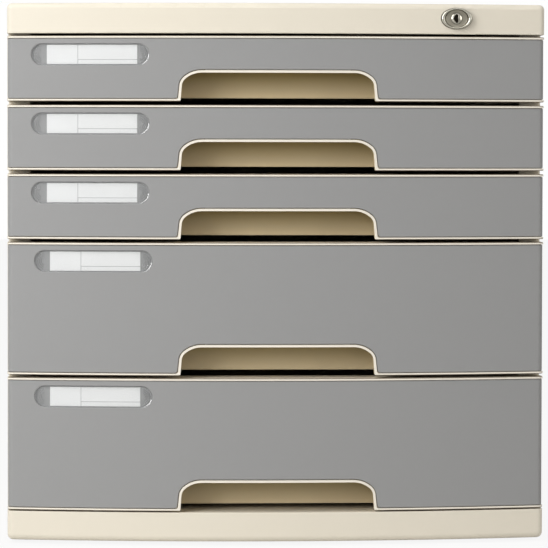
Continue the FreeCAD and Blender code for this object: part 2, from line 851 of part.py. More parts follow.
def box(name, low, high):
    """A Part::Box between two corners given as expressions."""
    sizes = {
        "Length": f"({high[0]}) - ({low[0]})",
        "Width": f"({high[1]}) - ({low[1]})",
        "Height": f"({high[2]}) - ({low[2]})",
    }
    return solid("Part::Box", name, sizes, low)


def make_lock_plug():
    face = f"({DISH_FLOOR} + plug_set_back - dish_deep/2)"
    core = solid(
        "Part::Cylinder",
        "plug_core",
        {"Radius": "plug_radius", "Height": f"{BARREL_END} - {face}"},
        (LOCK_X, face, LOCK_Z),
        TO_REAR,
    )
    square = box(
        "plug_square",
        (f"({LOCK_X} - cam_square/2)", f"({BARREL_END} - overrun/2)", f"({LOCK_Z} - cam_square/2)"),
        (f"({LOCK_X} + cam_square/2)", CAM_BACK, f"({LOCK_Z} + cam_square/2)"),
    )
    keyway = box(
        "keyway",
        (f"({LOCK_X} - key_wide/2)", f"({face} - overrun)", f"({LOCK_Z} - key_tall/2)"),
        (f"({LOCK_X} + key_wide/2)", f"({face} + key_deep)", f"({LOCK_Z} + key_tall/2)"),
    )
    thread = solid(
        "Part::Cylinder",
        "plug_thread",
        {"Radius": "screw_shank + plug_play", "Height": "screw_reach + overrun"},
        (LOCK_X, f"({CAM_BACK} - screw_reach)", LOCK_Z),
        TO_REAR,
    )
    return cut("lock_plug", fuse("lock_plug_raw", [core, square]), fuse("lock_plug_holes", [keyway, thread]))


def make_lock_cam():
    hub = solid("Part::Cylinder", "cam_hub_disc", {"Radius": "cam_hub", "Height": "cam_thick"}, (LOCK_X, CAM_Y, LOCK_Z), TO_REAR)
    pin_x = f"({LOCK_X} + {PIN_OFFSET})"
    pin_z = f"({LOCK_Z} + {PIN_OFFSET})"
    lobe = solid("Part::Cylinder", "cam_lobe_disc", {"Radius": "cam_lobe", "Height": "cam_thick"}, (pin_x, CAM_Y, pin_z), TO_REAR)
    pin = solid("Part::Cylinder", "cam_pin", {"Radius": "pin_radius", "Height": "cam_thick + pin_length"}, (pin_x, CAM_Y, pin_z), TO_REAR)
    hole = box(
        "cam_hole",
        (f"({LOCK_X} - cam_square/2 - cam_square_play)", f"({CAM_Y} - overrun)", f"({LOCK_Z} - cam_square/2 - cam_square_play)"),
        (f"({LOCK_X} + cam_square/2 + cam_square_play)", f"({CAM_BACK} + overrun)", f"({LOCK_Z} + cam_square/2 + cam_square_play)"),
    )
    return cut("lock_cam", fuse("lock_cam_raw", [hub, lobe, pin]), hole)


def make_cam_screw():
    head = solid("Part::Cylinder", "cam_screw_head", {"Radius": "screw_head", "Height": "screw_head_tall"}, (LOCK_X, CAM_BACK, LOCK_Z), TO_REAR)
    shank = solid(
        "Part::Cylinder",
        "cam_screw_shank",
        {"Radius": "screw_shank", "Height": "screw_reach"},
        (LOCK_X, f"({CAM_BACK} - screw_reach + screw_head_tall/2)", LOCK_Z),
        TO_REAR,
    )
    return fuse("cam_screw", [head, shank])


def make_lock_bar():
    """Flat bar: a fork round the cam pin, an arm above the top drawer, and a leg with five windows."""
    body = new_body("lock_bar")
    slot_z = f"({LOCK_Z} + {PIN_OFFSET})"
    slot = "(pin_radius + pin_play)"
    high = f"({slot_z} + {slot} + bar_top_web)"
    low = f"({slot_z} - {slot} - bar_bottom_web)"
    tip = f"({LOCK_X} + {PIN_OFFSET} - pin_radius - pin_play - bar_top_web)"
    slot_end = f"({LOCK_X} + cam_throw + pin_radius + pin_play)"
    tail = f"({tab_height(5)} - tab_half - tab_play - bar_tail)"
    face = new_sketch(body, "bar_outline", "XZ", BAR_BACK)
    add_outline(
        face,
        [
            (tip, low),
            (BAR_INNER, low),
            (BAR_INNER, tail),
            (BAR_OUTER, tail),
            (BAR_OUTER, high),
            (tip, high),
            (tip, f"({slot_z} + {slot})"),
            (slot_end, f"({slot_z} + {slot})"),
            (slot_end, f"({slot_z} - {slot})"),
            (tip, f"({slot_z} - {slot})"),
        ],
    )
    pad(body, "bar_strip", face, "bar_thick", "front")
    windows = new_sketch(body, "window_outline", "XZ", BAR_FRONT)
    for number in drawers:
        z = tab_height(number)
        across = "(tab_thick/2 + tab_play)"
        reach = "(tab_half + tab_play)"
        add_rectangle(windows, f"({TAB_X} - {across})", f"({z} - {reach})", f"({TAB_X} + {across})", f"({z} + {reach})")
    pocket(body, "windows", windows, "bar_thick", "rear")
    return body


def make_bar_guides():
    guides = []
    for count, (upper, lower) in enumerate(((2, 3), (3, 4), (4, 5)), start=1):
        z = f"(({tab_height(upper)} + {tab_height(lower)})/2)"
        outer = box(
            f"guide_{count}_block",
            (BAR_INNER, f"({BAR_FRONT} - guide_play - guide_arm)", f"({z} - guide_tall/2)"),
            (SKIN_INNER, f"({BAR_BACK} + guide_play + guide_arm)", f"({z} + guide_tall/2)"),
        )
        inner = box(
            f"guide_{count}_slot",
            (f"({BAR_INNER} - overrun)", f"({BAR_FRONT} - guide_play)", f"({z} - guide_tall)"),
            (f"({BAR_OUTER} + guide_play)", f"({BAR_BACK} + guide_play)", f"({z} + guide_tall)"),
        )
        guides.append(cut(f"guide_{count}", outer, inner))
    return group("bar_guides", guides)


# Drawers


def make_tray(number, drawer):
    """Tray moulding with its bowed front, notch rim, finger wall, bin, stop lugs and lock tab."""
    body = new_body(f"drawer_tray_{number}")
    body.setExpression("Placement.Base.z", bound(drawer["bottom"]))
    face = drawer["face"]
    plan = add_outline(new_sketch(body, "front_plan", "XY", "0"), bowed_run("0", BACK_PLANE, "corner"))
    pad(body, "front_block", plan, face, "up")
    back = value(BACK_PLANE)
    near = abs(back) * NEAR_SHARE
    round_edges(body, "lip_round", "lip_edge", lambda edge: edge.BoundBox.ZLength < near and edge.BoundBox.YMin < back - near)
    seat = add_outline(new_sketch(body, "seat_plan", "XY", "lip"), front_of_bow("seat", FLANGE_Y, "inner_corner"))
    pocket(body, "panel_seat", seat, f"{face} - 2*lip", "up")
    rim = new_sketch(body, "rim_outline", "XZ", FLANGE_Y)
    add_outline(rim, notch_outline("0", "lip", "notch_flare"))
    pad(body, "notch_rim", rim, f"{FLANGE_Y} - {FRONT_Y} + overrun", "front")
    trim = add_outline(new_sketch(body, "trim_plan", "XY", "0"), front_of_bow("0", FLANGE_Y, "corner"))
    pocket(body, "bow_trim", trim, face, "up")
    hollow = new_sketch(body, "hollow_plan", "XY", "0")
    add_outline(hollow, bowed_run("(seat + front_wall)", f"({BACK_PLANE} - back_wall)", "inner_corner"))
    pocket(body, "front_hollow", hollow, f"{face} - deck", "up")
    notch = new_sketch(body, "notch_opening", "XZ", f"({BACK_PLANE} - back_wall)")
    add_outline(notch, notch_outline("-rim", "0", "notch_foot", "overrun"))
    pocket(body, "finger_notch", notch, f"{BACK_PLANE} - {FRONT_Y} + overrun", "front")
    relief = new_sketch(body, "relief_plan", "XY", "0")
    half = "(width/2 - seat - front_wall)"
    add_rectangle(relief, f"-{half}", f"({BACK_PLANE} - back_wall)", half, f"({BACK_PLANE} + overrun)")
    pocket(body, "wall_relief", relief, "floor_lift", "up")
    ribs = new_sketch(body, "pocket_rib_plan", "XY", "floor_lift")
    near = "(notch_half + pocket_rib_gap)"
    far = f"({near} + pocket_rib)"
    rib_front = bow_line(near, "(seat + front_wall/2)")
    add_rectangle(ribs, near, rib_front, far, f"({BACK_PLANE} - back_wall/2)")
    add_rectangle(ribs, f"-{far}", rib_front, f"-{near}", f"({BACK_PLANE} - back_wall/2)")
    pad(body, "pocket_ribs", ribs, f"{face} - floor_lift - deck/2", "up")
    bin_plan = new_sketch(body, "bin_plan", "XY", "floor_lift")
    add_outline(bin_plan, rounded_box(TRAY_HALF, f"({BACK_PLANE} - back_wall/2)", TRAY_REAR, "tray_corner"))
    pad(body, "bin", bin_plan, f"{face} - floor_lift - tray_drop", "up")
    inside = new_sketch(body, "bin_inside_plan", "XY", "(floor_lift + tray_floor)")
    inner_corner = "(tray_corner - tray_wall)"
    add_outline(inside, rounded_box(f"({TRAY_HALF} - tray_wall)", BACK_PLANE, f"({TRAY_REAR} - tray_wall)", inner_corner))
    pocket(body, "bin_inside", inside, f"{face}", "up")
    lugs = new_sketch(body, "lug_plan", "XY", f"({face} - tray_drop - lug_drop - lug_tall)")
    lug_y = f"({POST_BACK} + stop_gap + travel)"
    inner = f"({TRAY_HALF} - tray_wall/2)"
    outer = f"({TRAY_HALF} + lug_reach)"
    lug = [(inner, lug_y), (outer, lug_y), (outer, f"({lug_y} + lug_length)"), (inner, f"({lug_y} + lug_length + lug_ramp)")]
    add_outline(lugs, lug)
    add_outline(lugs, [(f"-{x}", y) for x, y in lug[::-1]])
    pad(body, "stop_lugs", lugs, "lug_tall", "up")
    tab = new_sketch(body, "tab_outline", "YZ", f"({TAB_X} - tab_thick/2)")
    root = f"({BACK_PLANE} - back_wall/2)"
    end = f"({BACK_PLANE} + tab_reach)"
    z = f"({face} - tab_drop)"
    notch_front = f"({BAR_FRONT} - bar_notch_play)"
    notch_back = f"({BAR_BACK} + bar_notch_play)"
    notch_floor = f"({z} + tab_half - tab_notch)"
    add_outline(
        tab,
        [
            (root, f"({z} - tab_half)"),
            (end, f"({z} - tab_half)"),
            (end, f"({z} + tab_half)"),
            (notch_back, f"({z} + tab_half)"),
            (notch_back, notch_floor),
            (notch_front, notch_floor),
            (notch_front, f"({z} + tab_half)"),
            (root, f"({z} + tab_half)"),
        ],
    )
    pad(body, "lock_tab", tab, "tab_thick", "right")
    return body


def rounded_box(half, front, rear, corner):
    """A rectangle with rounded rear corners, seen from above."""
    return [
        (f"-{half}", front),
        (half, front),
        (half, f"({rear} - {corner})", corner),
        (f"({half} - {corner})", rear),
        (f"-({half} - {corner})", rear, corner),
        (f"-{half}", f"({rear} - {corner})"),
    ]


def label_centre(face):
    return f"({face} - label_drop - label_height/2)"


def make_front(number, drawer):
    """Grey cover panel with wrapped ends, the notch cut-out and the label recess."""
    body = new_body(f"drawer_front_{number}")
    body.setExpression("Placement.Base.z", bound(drawer["bottom"]))
    face = drawer["face"]
    x = drawer["label_x"]
    low = "(lip + panel_gap)"
    tall = f"({face} - 2*lip - 2*panel_gap)"
    back = f"({FLANGE_Y} - panel_gap)"
    plan = add_outline(new_sketch(body, "panel_plan", "XY", low), bowed_run("face_recess", back, "corner"))
    pad(body, "panel_block", plan, tall, "up")
    inner = new_sketch(body, "inner_plan", "XY", low)
    add_outline(inner, bowed_run("panel_back", f"({back} + overrun)", "inner_corner"))
    pocket(body, "panel_hollow", inner, tall, "up")
    notch = new_sketch(body, "notch_opening", "XZ", back)
    add_outline(notch, notch_outline("panel_gap", low, "notch_flare"))
    pocket(body, "notch_cut", notch, f"{back} - {FRONT_Y} + overrun", "front")
    label = new_sketch(body, "label_opening", "XZ", back)
    add_outline(label, pill_outline(x, "(label_width/2 + label_play)", "(label_height/2 + label_play)", label_centre(face)))
    pocket(body, "label_cut", label, f"{back} - {FRONT_Y} + overrun", "front")
    floor = new_sketch(body, "label_floor_plan", "XY", f"({label_centre(face)} - label_height/2 - lip)")
    reach = "(label_width/2 + lip)"
    add_outline(floor, bow_strip(f"({x} - {reach})", f"({x} + {reach})", "label_floor", "panel_back"))
    pad(body, "label_backing", floor, "label_height + 2*lip", "up")
    return body


def make_label_window(number, drawer):
    body = new_body(f"label_window_{number}")
    body.setExpression("Placement.Base.z", bound(drawer["bottom"]))
    face = drawer["face"]
    x = drawer["label_x"]
    strip = new_sketch(body, "window_plan", "XY", f"({label_centre(face)} - label_height/2)")
    reach = "(label_width/2)"
    back = "(label_floor - card_thick - label_play)"
    add_outline(strip, bow_strip(f"({x} - {reach})", f"({x} + {reach})", "label_sink", back))
    pad(body, "window_strip", strip, "label_height", "up")
    ring = new_sketch(body, "window_outline", "XZ", ENDS_Y)
    add_outline(ring, pill_outline(x, reach, "(label_height/2)", label_centre(face)))
    wide = f"({reach} + lip)"
    high = "(label_height/2 + lip)"
    z = label_centre(face)
    add_rectangle(ring, f"({x} - {wide})", f"({z} - {high})", f"({x} + {wide})", f"({z} + {high})")
    pocket(body, "window_trim", ring, "bow + overrun", "front")
    return body


def make_label_card(number, drawer):
    body = new_body(f"label_card_{number}")
    body.setExpression("Placement.Base.z", bound(drawer["bottom"]))
    face = drawer["face"]
    x = f"({drawer['label_x']} + card_shift)"
    card = new_sketch(body, "card_plan", "XY", f"({label_centre(face)} - card_height/2)")
    reach = "(card_width/2)"
    add_outline(card, bow_strip(f"({x} - {reach})", f"({x} + {reach})", "(label_floor - card_thick)", "label_floor"))
    pad(body, "card", card, "card_height", "up")
    return body


# Build, check and export

pieces = [
    make_top_panel(),
    make_side("left_side_panel", -1),
    make_side("right_side_panel", 1),
    make_rear_panel(),
    make_base_plate(),
    make_lock_housing(),
    make_lock_nut(),
    make_lock_plug(),
    make_lock_cam(),
    make_cam_screw(),
    make_lock_bar(),
    make_bar_guides(),
]
pieces.append(make_feet())
pieces += make_screws()
for number in sorted(drawers):
    drawer = drawers[number]
    pieces.append(make_tray(number, drawer))
    pieces.append(make_front(number, drawer))
    pieces.append(make_label_window(number, drawer))
    pieces.append(make_label_card(number, drawer))
doc.recompute()

for item in doc.Objects:
    if "Invalid" in item.State or "Error" in item.State:
        raise RuntimeError(f"{item.Label} failed to build")
os.makedirs("parts", exist_ok=True)
for piece in pieces:
    shape = piece.Shape
    if shape.isNull() or not shape.isValid():
        raise RuntimeError(f"{piece.Label} has no valid shape")
for piece in pieces:
    piece.Shape.exportStep(f"parts/{piece.Label}.step")
    print(f"{piece.Label}: {len(piece.Shape.Solids)} solid, {piece.Shape.Volume:.0f} mm3")
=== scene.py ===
"""The looks of a desktop file drawer: a cream cabinet with five bowed grey drawer fronts.

Every piece is built in metres in the cabinet's own frame: +X to the right seen from the front,
the drawers open towards -Y, +Z up, the origin on the table under the middle of the cabinet.
"""

import logging
import math
from dataclasses import dataclass, field
from enum import Enum
from typing import Any, Callable, Iterable, Sequence

import bmesh
import bpy
from mathutils import Matrix, Vector


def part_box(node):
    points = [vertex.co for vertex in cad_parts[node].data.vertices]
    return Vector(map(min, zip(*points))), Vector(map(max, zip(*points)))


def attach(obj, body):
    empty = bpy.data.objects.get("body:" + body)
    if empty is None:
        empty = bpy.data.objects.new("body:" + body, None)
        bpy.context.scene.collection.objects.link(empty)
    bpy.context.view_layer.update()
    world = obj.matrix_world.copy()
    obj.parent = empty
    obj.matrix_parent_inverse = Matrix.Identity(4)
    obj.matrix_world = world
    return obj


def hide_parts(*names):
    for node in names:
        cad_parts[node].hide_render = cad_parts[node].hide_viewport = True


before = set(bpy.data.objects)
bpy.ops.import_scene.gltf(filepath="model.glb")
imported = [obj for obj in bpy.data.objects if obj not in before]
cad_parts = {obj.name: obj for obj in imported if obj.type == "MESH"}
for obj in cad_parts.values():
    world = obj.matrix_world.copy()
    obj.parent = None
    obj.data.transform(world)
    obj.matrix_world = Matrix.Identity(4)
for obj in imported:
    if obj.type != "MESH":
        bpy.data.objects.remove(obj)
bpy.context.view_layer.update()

LOG = logging.getLogger("file_drawer")
MM = 0.001
PLATE_WELD = 1e-4
NODE_WELD = 1e-6
CUT_SLACK = 1e-7
SOFT_ANGLE = 38.0
BMesh = bmesh.types.BMesh
Material = bpy.types.Material
Point2 = tuple[float, float]
Colour = tuple[float, float, float]
Settings = dict[str, Any]
Inputs = dict[Any, Any]

WHITE = (1.0, 1.0, 1.0)
CREAM = (0.815, 0.757, 0.640)
CREAM_ROUGHNESS = 0.46
GREY_TINT = (0.92, 0.92, 0.94)

# The Mix node's sockets for colours
MIX_FACTOR, MIX_FIRST, MIX_SECOND, MIX_RESULT = 0, 6, 7, 2


# Shader graph


def math_method(operation: str, reflected: bool = False) -> Callable[..., "Value"]:
    """An arithmetic method for Value.

    Args:
        operation: the Math node's operation.
        reflected: whether the operands change places.

    Returns:
        The method.
    """

    def method(self: "Value", other: Any = 0.0) -> "Value":
        """Adds the Math node and gives its result."""
        first, second = (other, self) if reflected else (self, other)
        return self.graph.value("ShaderNodeMath", {"operation": operation}, {0: first, 1: second})

    return method


class Value:
    """A number that a shader node gives, with arithmetic that adds Math nodes.

    A comparison gives 1 where it holds, else 0.
    """

    def __init__(self, graph: "Graph", socket: bpy.types.NodeSocket) -> None:
        """Wraps one output socket of the graph."""
        self.graph = graph
        self.socket = socket

    __add__, __radd__ = math_method("ADD"), math_method("ADD", True)
    __sub__, __rsub__ = math_method("SUBTRACT"), math_method("SUBTRACT", True)
    __mul__, __rmul__ = math_method("MULTIPLY"), math_method("MULTIPLY", True)
    __truediv__, __rtruediv__ = math_method("DIVIDE"), math_method("DIVIDE", True)
    __lt__, __gt__ = math_method("LESS_THAN"), math_method("GREATER_THAN")
    __abs__ = math_method("ABSOLUTE")


class Graph:
    """The node tree of one material or of the world."""

    def __init__(self, owner: Any) -> None:
        """Starts with the owner's tree, emptied."""
        owner.use_nodes = True
        self.tree = owner.node_tree
        self.tree.nodes.clear()

    def node(
        self, kind: str, settings: Settings | None = None, inputs: Inputs | None = None
    ) -> bpy.types.Node:
        """Adds any node.

        Args:
            kind: the node's type name.
            settings: properties that are set first.
            inputs: values or links for its sockets, by name or number.

        Returns:
            The new node.
        """
        node = self.tree.nodes.new(kind)
        for name, setting in (settings or {}).items():
            setattr(node, name, setting)
        for key, given in (inputs or {}).items():
            socket = node.inputs[key]
            if isinstance(given, Value):
                given = given.socket
            if isinstance(given, bpy.types.NodeSocket):
                self.tree.links.new(given, socket)
            else:
                socket.default_value = given
        return node

    def value(
        self, kind: str, settings: Settings | None = None, inputs: Inputs | None = None, output: Any = 0
    ) -> Value:
        """Adds a node, as `node` does, and wraps the output with that name or number."""
        return Value(self, self.node(kind, settings, inputs).outputs[output])

    def place(self) -> Value:
        """The point on the piece, in its own metres."""
        return self.value("ShaderNodeTexCoord", output="Object")

    def axes(self) -> tuple[Value, Value, Value]:
        """The three coordinates of the point on the piece."""
        split = self.node("ShaderNodeSeparateXYZ", None, {0: self.place()})
        return tuple(Value(self, output) for output in split.outputs)

    def noise(self, size: float, detail: float = 2.0, stretch: Sequence[float] = (1.0, 1.0, 1.0)) -> Value:
        """Soft noise about the piece.

        Args:
            size: width of one blotch in metres.
            detail: how many finer layers it has.
            stretch: how many times longer a blotch is along each axis.

        Returns:
            A value round 0.5.
        """
        scale = tuple(1.0 / (size * along) for along in stretch)
        spot = self.value("ShaderNodeMapping", None, {"Vector": self.place(), "Scale": scale})
        return self.value("ShaderNodeTexNoise", None, {"Vector": spot, "Scale": 1.0, "Detail": detail}, "Fac")

    def blend(self, factor: Any, first: Any, second: Any, mode: str = "MIX") -> Value:
        """Mixes two colours.

        Args:
            factor: share of the second colour.
            first: the first colour or link.
            second: the second colour or link.
            mode: how they mix.

        Returns:
            The mixed colour.
        """
        pair = [(*c, 1.0) if isinstance(c, tuple) else c for c in (first, second)]
        settings = {"data_type": "RGBA", "blend_type": mode, "clamp_factor": True}
        inputs = {MIX_FACTOR: factor, MIX_FIRST: pair[0], MIX_SECOND: pair[1]}
        return self.value("ShaderNodeMix", settings, inputs, MIX_RESULT)

    def bump(self, height: Value, depth: float) -> Value:
        """A normal that follows a height from 0 to 1, depth metres deep."""
        return self.value("ShaderNodeBump", None, {"Height": height, "Distance": depth, "Strength": 1.0})

    def ray(self, kind: str) -> Value:
        """1 for rays of one kind, such as Camera, else 0."""
        return self.value("ShaderNodeLightPath", output=f"Is {kind} Ray")

    def shader(self, kind: str, inputs: Inputs) -> bpy.types.NodeSocket:
        """Adds a shader and gives its output."""
        return self.node("ShaderNode" + kind, None, inputs).outputs[0]

    def output(self, shader: Any) -> None:
        """Ends the material at a shader."""
        self.node("ShaderNodeOutputMaterial", None, {"Surface": shader})


# Finishes


def scaled(colour: Colour, share: float) -> Colour:
    """The colour times a number."""
    return tuple(channel * share for channel in colour)


class Texture(Enum):
    """How a moulding's steel tool was finished: width and depth of the grain in metres."""

    SPARKED = (0.00055, 0.000030)
    SATIN = (0.00040, 0.000018)
    SMOOTH = (0.00120, 0.000006)


@dataclass(frozen=True)
class Finish:
    """A finish made by nodes alone."""

    name: str

    def sockets(self, graph: Graph) -> Inputs:
        """What makes the finish; each kind has its own.

        Args:
            graph: the material's nodes.

        Returns:
            Values or links for the shader's sockets, by name.
        """
        raise NotImplementedError

    def material(self) -> Material:
        """The finish as a material."""
        made = bpy.data.materials.new(self.name)
        graph = Graph(made)
        graph.output(graph.shader("BsdfPrincipled", self.sockets(graph)))
        return made


@dataclass(frozen=True)
class MouldedPlastic(Finish):
    """Opaque plastic with the grain of its mould, a slow drift of colour and fine specks."""

    colour: Colour
    roughness: float = 0.5
    texture: Texture = Texture.SATIN
    drift: float = 0.05
    speck: float = 0.03
    tint: Colour = (0.9, 0.86, 0.76)
    drift_wide: float = 0.11
    speck_wide: float = 0.0021
    speck_tone: float = 0.55
    uneven: float = 0.12
    gloss: float = 0.45

    def tone(self, graph: Graph, colour: Value) -> Value:
        """The colour as it is seen; other plastics change it by place."""
        return colour

    def sockets(self, graph: Graph) -> Inputs:
        """Grained plastic."""
        grain_wide, grain_deep = self.texture.value
        slow = graph.noise(self.drift_wide)
        fine = graph.noise(self.speck_wide)
        grain = graph.noise(grain_wide, 3.0)
        tinted = tuple(channel * share for channel, share in zip(self.colour, self.tint))
        toned = graph.blend(slow * self.drift, self.colour, tinted)
        specked = graph.blend(fine * self.speck, toned, scaled(self.colour, self.speck_tone))
        return {
            "Base Color": self.tone(graph, specked),
            "Roughness": self.roughness - self.uneven / 2 + self.uneven * grain,
            "Normal": graph.bump(grain, grain_deep),
            "Specular IOR Level": self.gloss,
        }


@dataclass(frozen=True)
class TrayPlastic(MouldedPlastic):
    """The drawer trays' plastic, with painted shade inside the finger hollow and a painted highlight on the
    lips.

    The hollow reaches from `hollow_front` back to its wall at `hollow_back`, and up to `roof` below the
    drawer's top. There the colour is multiplied by a painted shade whose tone goes from `low` to `deep` over
    the height `fade`, which starts at `fade_from`: darker and yellower towards the top.
    The lips are lightened as a painted highlight, with a painted shadow line along their outer edges.
    """

    bottom: float = 0.0
    tall: float = 0.0363
    roof: float = 0.003
    hollow_front: float = -0.1712
    hollow_back: float = -0.1460
    hollow_half: float = 0.0566
    fade_from: float = 0.003
    fade: float = 0.012
    # Painted shade: colours multiplied into the hollow, deep near its top and low near its bottom
    deep: Colour = (0.43, 0.34, 0.14)
    low: Colour = (1.12, 1.00, 0.76)
    # Painted highlight multiplied into the lips
    lip: Colour = (1.12, 1.13, 1.17)
    lip_deep: float = 0.0013
    # Painted shadow along the lips' top and bottom edges
    shade: Colour = (0.17, 0.13, 0.09)
    shade_wide: float = 0.00034

    def tone(self, graph: Graph, colour: Value) -> Value:
        """The colour with painted shade in the hollow, a painted highlight on the lips and painted shadow
        along their edges.
        """
        x, y, z = graph.axes()
        top = self.bottom + self.tall
        between = (y > self.hollow_front) * (y < self.hollow_back) * (abs(x) < self.hollow_half)
        inside = between * (z < top - self.roof)
        # Painted shade in the hollow, darker and yellower towards the top
        hollow_shade = graph.blend((z - (self.bottom + self.fade_from)) / self.fade, self.low, self.deep)
        front = FrontPath()
        behind = y - front.bow_centre
        on_lip = x * x + behind * behind > (front.bow_radius - self.lip_deep) ** 2
        on_shaded_edge = on_lip * ((z < self.bottom + self.shade_wide) + (z > top - self.shade_wide))
        # Painted highlight on the lips, then painted shadow along their top and bottom edges
        lip_highlighted = graph.blend(on_lip, colour, graph.blend(1.0, colour, self.lip, "MULTIPLY"))
        edge_shaded = graph.blend(on_shaded_edge, lip_highlighted, self.shade)
        return graph.blend(inside, edge_shaded, graph.blend(1.0, colour, hollow_shade, "MULTIPLY"))


@dataclass(frozen=True)
class PlatedMetal(Finish):
    """Plated metal with fine wipe marks and a little tarnish.

    Where a y is given, it darkens behind that y to a near black over a short way: painted shade on the parts
    that lie further back.
    """

    colour: Colour
    roughness: float = 0.2
    tarnish: Colour = (0.35, 0.33, 0.27)
    tarnished: float = 0.5
    # Painted shade behind a given y, for the bezel's sunk sides
    shade_from: float | None = None
    shade_fade: float = 0.0005
    shade_colour: Colour = (0.055, 0.050, 0.036)
    cloud_wide: float = 0.004
    wipe_wide: float = 0.00025
    wipe_long: float = 14.0
    wipe_deep: float = 0.000004
    uneven: float = 0.1

    def sockets(self, graph: Graph) -> Inputs:
        """Wiped metal."""
        cloud = graph.noise(self.cloud_wide, 3.0)
        wipe = graph.noise(self.wipe_wide, 2.0, (self.wipe_long, 1.0, 1.0))
        plate = graph.blend(cloud * self.tarnished, self.colour, self.tarnish)
        # Painted shade: darker behind the given y
        if self.shade_from is not None:
            depth = (graph.axes()[1] - self.shade_from) / self.shade_fade
            plate = graph.blend(depth, plate, self.shade_colour)
        return {
            "Base Color": plate,
            "Metallic": 1.0,
            "Roughness": self.roughness - self.uneven / 2 + self.uneven * wipe,
            "Normal": graph.bump(wipe, self.wipe_deep),
        }


@dataclass(frozen=True)
class ClearPlastic(Finish):
    """Thin clear plastic: mostly see-through, with a hard gloss that shows at its edges."""

    colour: Colour = (0.9, 0.93, 0.94)
    body: float = 0.08
    gloss: float = 0.5
    index: float = 1.5
    edge_body: float = 0.6
    edge_blend: float = 0.35
    haze_wide: float = 0.006
    haze_tone: float = 0.96
    roughness: float = 0.05
    uneven: float = 0.05

    def sockets(self, graph: Graph) -> Inputs:
        """Clear plastic."""
        facing = graph.value("ShaderNodeLayerWeight", None, {"Blend": self.edge_blend}, "Facing")
        haze = graph.noise(self.haze_wide)
        return {
            "Base Color": graph.blend(haze, self.colour, scaled(self.colour, self.haze_tone)),
            "Roughness": self.roughness + self.uneven * haze,
            "Alpha": self.body + self.edge_body * facing,
            "Specular IOR Level": self.gloss,
            "IOR": self.index,
        }


@dataclass(frozen=True)
class RuledCard(Finish):
    """White card with a thin upright line and a thin level line right of it, measured from its middle."""

    colour: Colour = (0.93, 0.93, 0.93)
    ink: Colour = (0.47, 0.47, 0.48)
    upright: float = -0.00777
    level: float = -0.00283
    line: float = 0.00035
    ink_thin: float = 0.75
    ink_uneven: float = 0.3
    fibre_wide: float = 0.0005
    fibre_long: float = 3.0
    fibre_deep: float = 0.000012
    fibre_tone: float = 0.86
    fibre_share: float = 0.12
    roughness: float = 0.68
    uneven: float = 0.15

    def sockets(self, graph: Graph) -> Inputs:
        """Ruled card."""
        across, _, up = graph.axes()
        half = self.line / 2
        fibre = graph.noise(self.fibre_wide, 3.0, (self.fibre_long, 1.0, 1.0))
        on_upright = abs(across - self.upright) < half
        on_level = (abs(up - self.level) < half) * (across > self.upright)
        inked = (on_upright + on_level) * (self.ink_thin + self.ink_uneven * fibre)
        paper = graph.blend(fibre * self.fibre_share, self.colour, scaled(self.colour, self.fibre_tone))
        return {
            "Base Color": graph.blend(inked, paper, self.ink),
            "Roughness": self.roughness + self.uneven * fibre,
            "Normal": graph.bump(fibre, self.fibre_deep),
        }


@dataclass(frozen=True)
class Rubber(Finish):
    """Soft black rubber with a dusty bloom."""

    colour: Colour = (0.035, 0.035, 0.035)
    bloom: Colour = (0.12, 0.115, 0.11)
    bloomed: float = 0.5
    dust_wide: float = 0.003
    grain_wide: float = 0.0003
    grain_deep: float = 0.00003
    roughness: float = 0.75
    uneven: float = 0.2

    def sockets(self, graph: Graph) -> Inputs:
        """Dusty rubber."""
        dust = graph.noise(self.dust_wide, 4.0)
        grain = graph.noise(self.grain_wide)
        return {
            "Base Color": graph.blend(dust * self.bloomed, self.colour, self.bloom),
            "Roughness": self.roughness + self.uneven * dust,
            "Normal": graph.bump(grain, self.grain_deep),
        }


def made_of(finish: Finish) -> Any:
    """A dataclass field that starts as the finish's material."""
    return field(default_factory=finish.material)


@dataclass
class Palette:
    """Every finish of the cabinet, made once."""

    cream: Material = made_of(MouldedPlastic("cream_moulding", CREAM, CREAM_ROUGHNESS))
    grey: Material = made_of(
        MouldedPlastic("grey_moulding", (0.320, 0.320, 0.320), 0.5, Texture.SPARKED, 0.04, 0.05, GREY_TINT)
    )
    clear: Material = made_of(ClearPlastic("clear_label_cover"))
    rim: Material = made_of(ClearPlastic("clear_cover_rim", (0.36, 0.365, 0.37), 0.48, 1.0, 2.0))
    card: Material = made_of(RuledCard("ruled_label_card"))
    chrome: Material = made_of(PlatedMetal("polished_plate", (0.53, 0.51, 0.44), 0.15))
    # The rim's slopes below its crown get painted shade
    bezel: Material = made_of(PlatedMetal("polished_rim", (0.62, 0.60, 0.52), 0.15, shade_from=-0.1692))
    # The dish plate is darker and rougher than the rim, with heavy tarnish clouds
    dish: Material = made_of(PlatedMetal("dark_dish", (0.43, 0.405, 0.33), 0.30, (0.17, 0.15, 0.11)))
    # The wards are near black as painted shade in the deep keyway
    wards: Material = made_of(
        PlatedMetal("near_black_wards", (0.022, 0.019, 0.014), 0.5, (0.010, 0.009, 0.007))
    )
    steel: Material = made_of(PlatedMetal("zinc_plate", (0.58, 0.58, 0.56), 0.34, (0.45, 0.43, 0.38)))
    guide: Material = made_of(MouldedPlastic("black_guide_plastic", (0.05, 0.05, 0.05), 0.4, Texture.SMOOTH))
    rubber: Material = made_of(Rubber("black_rubber"))


# Shapes


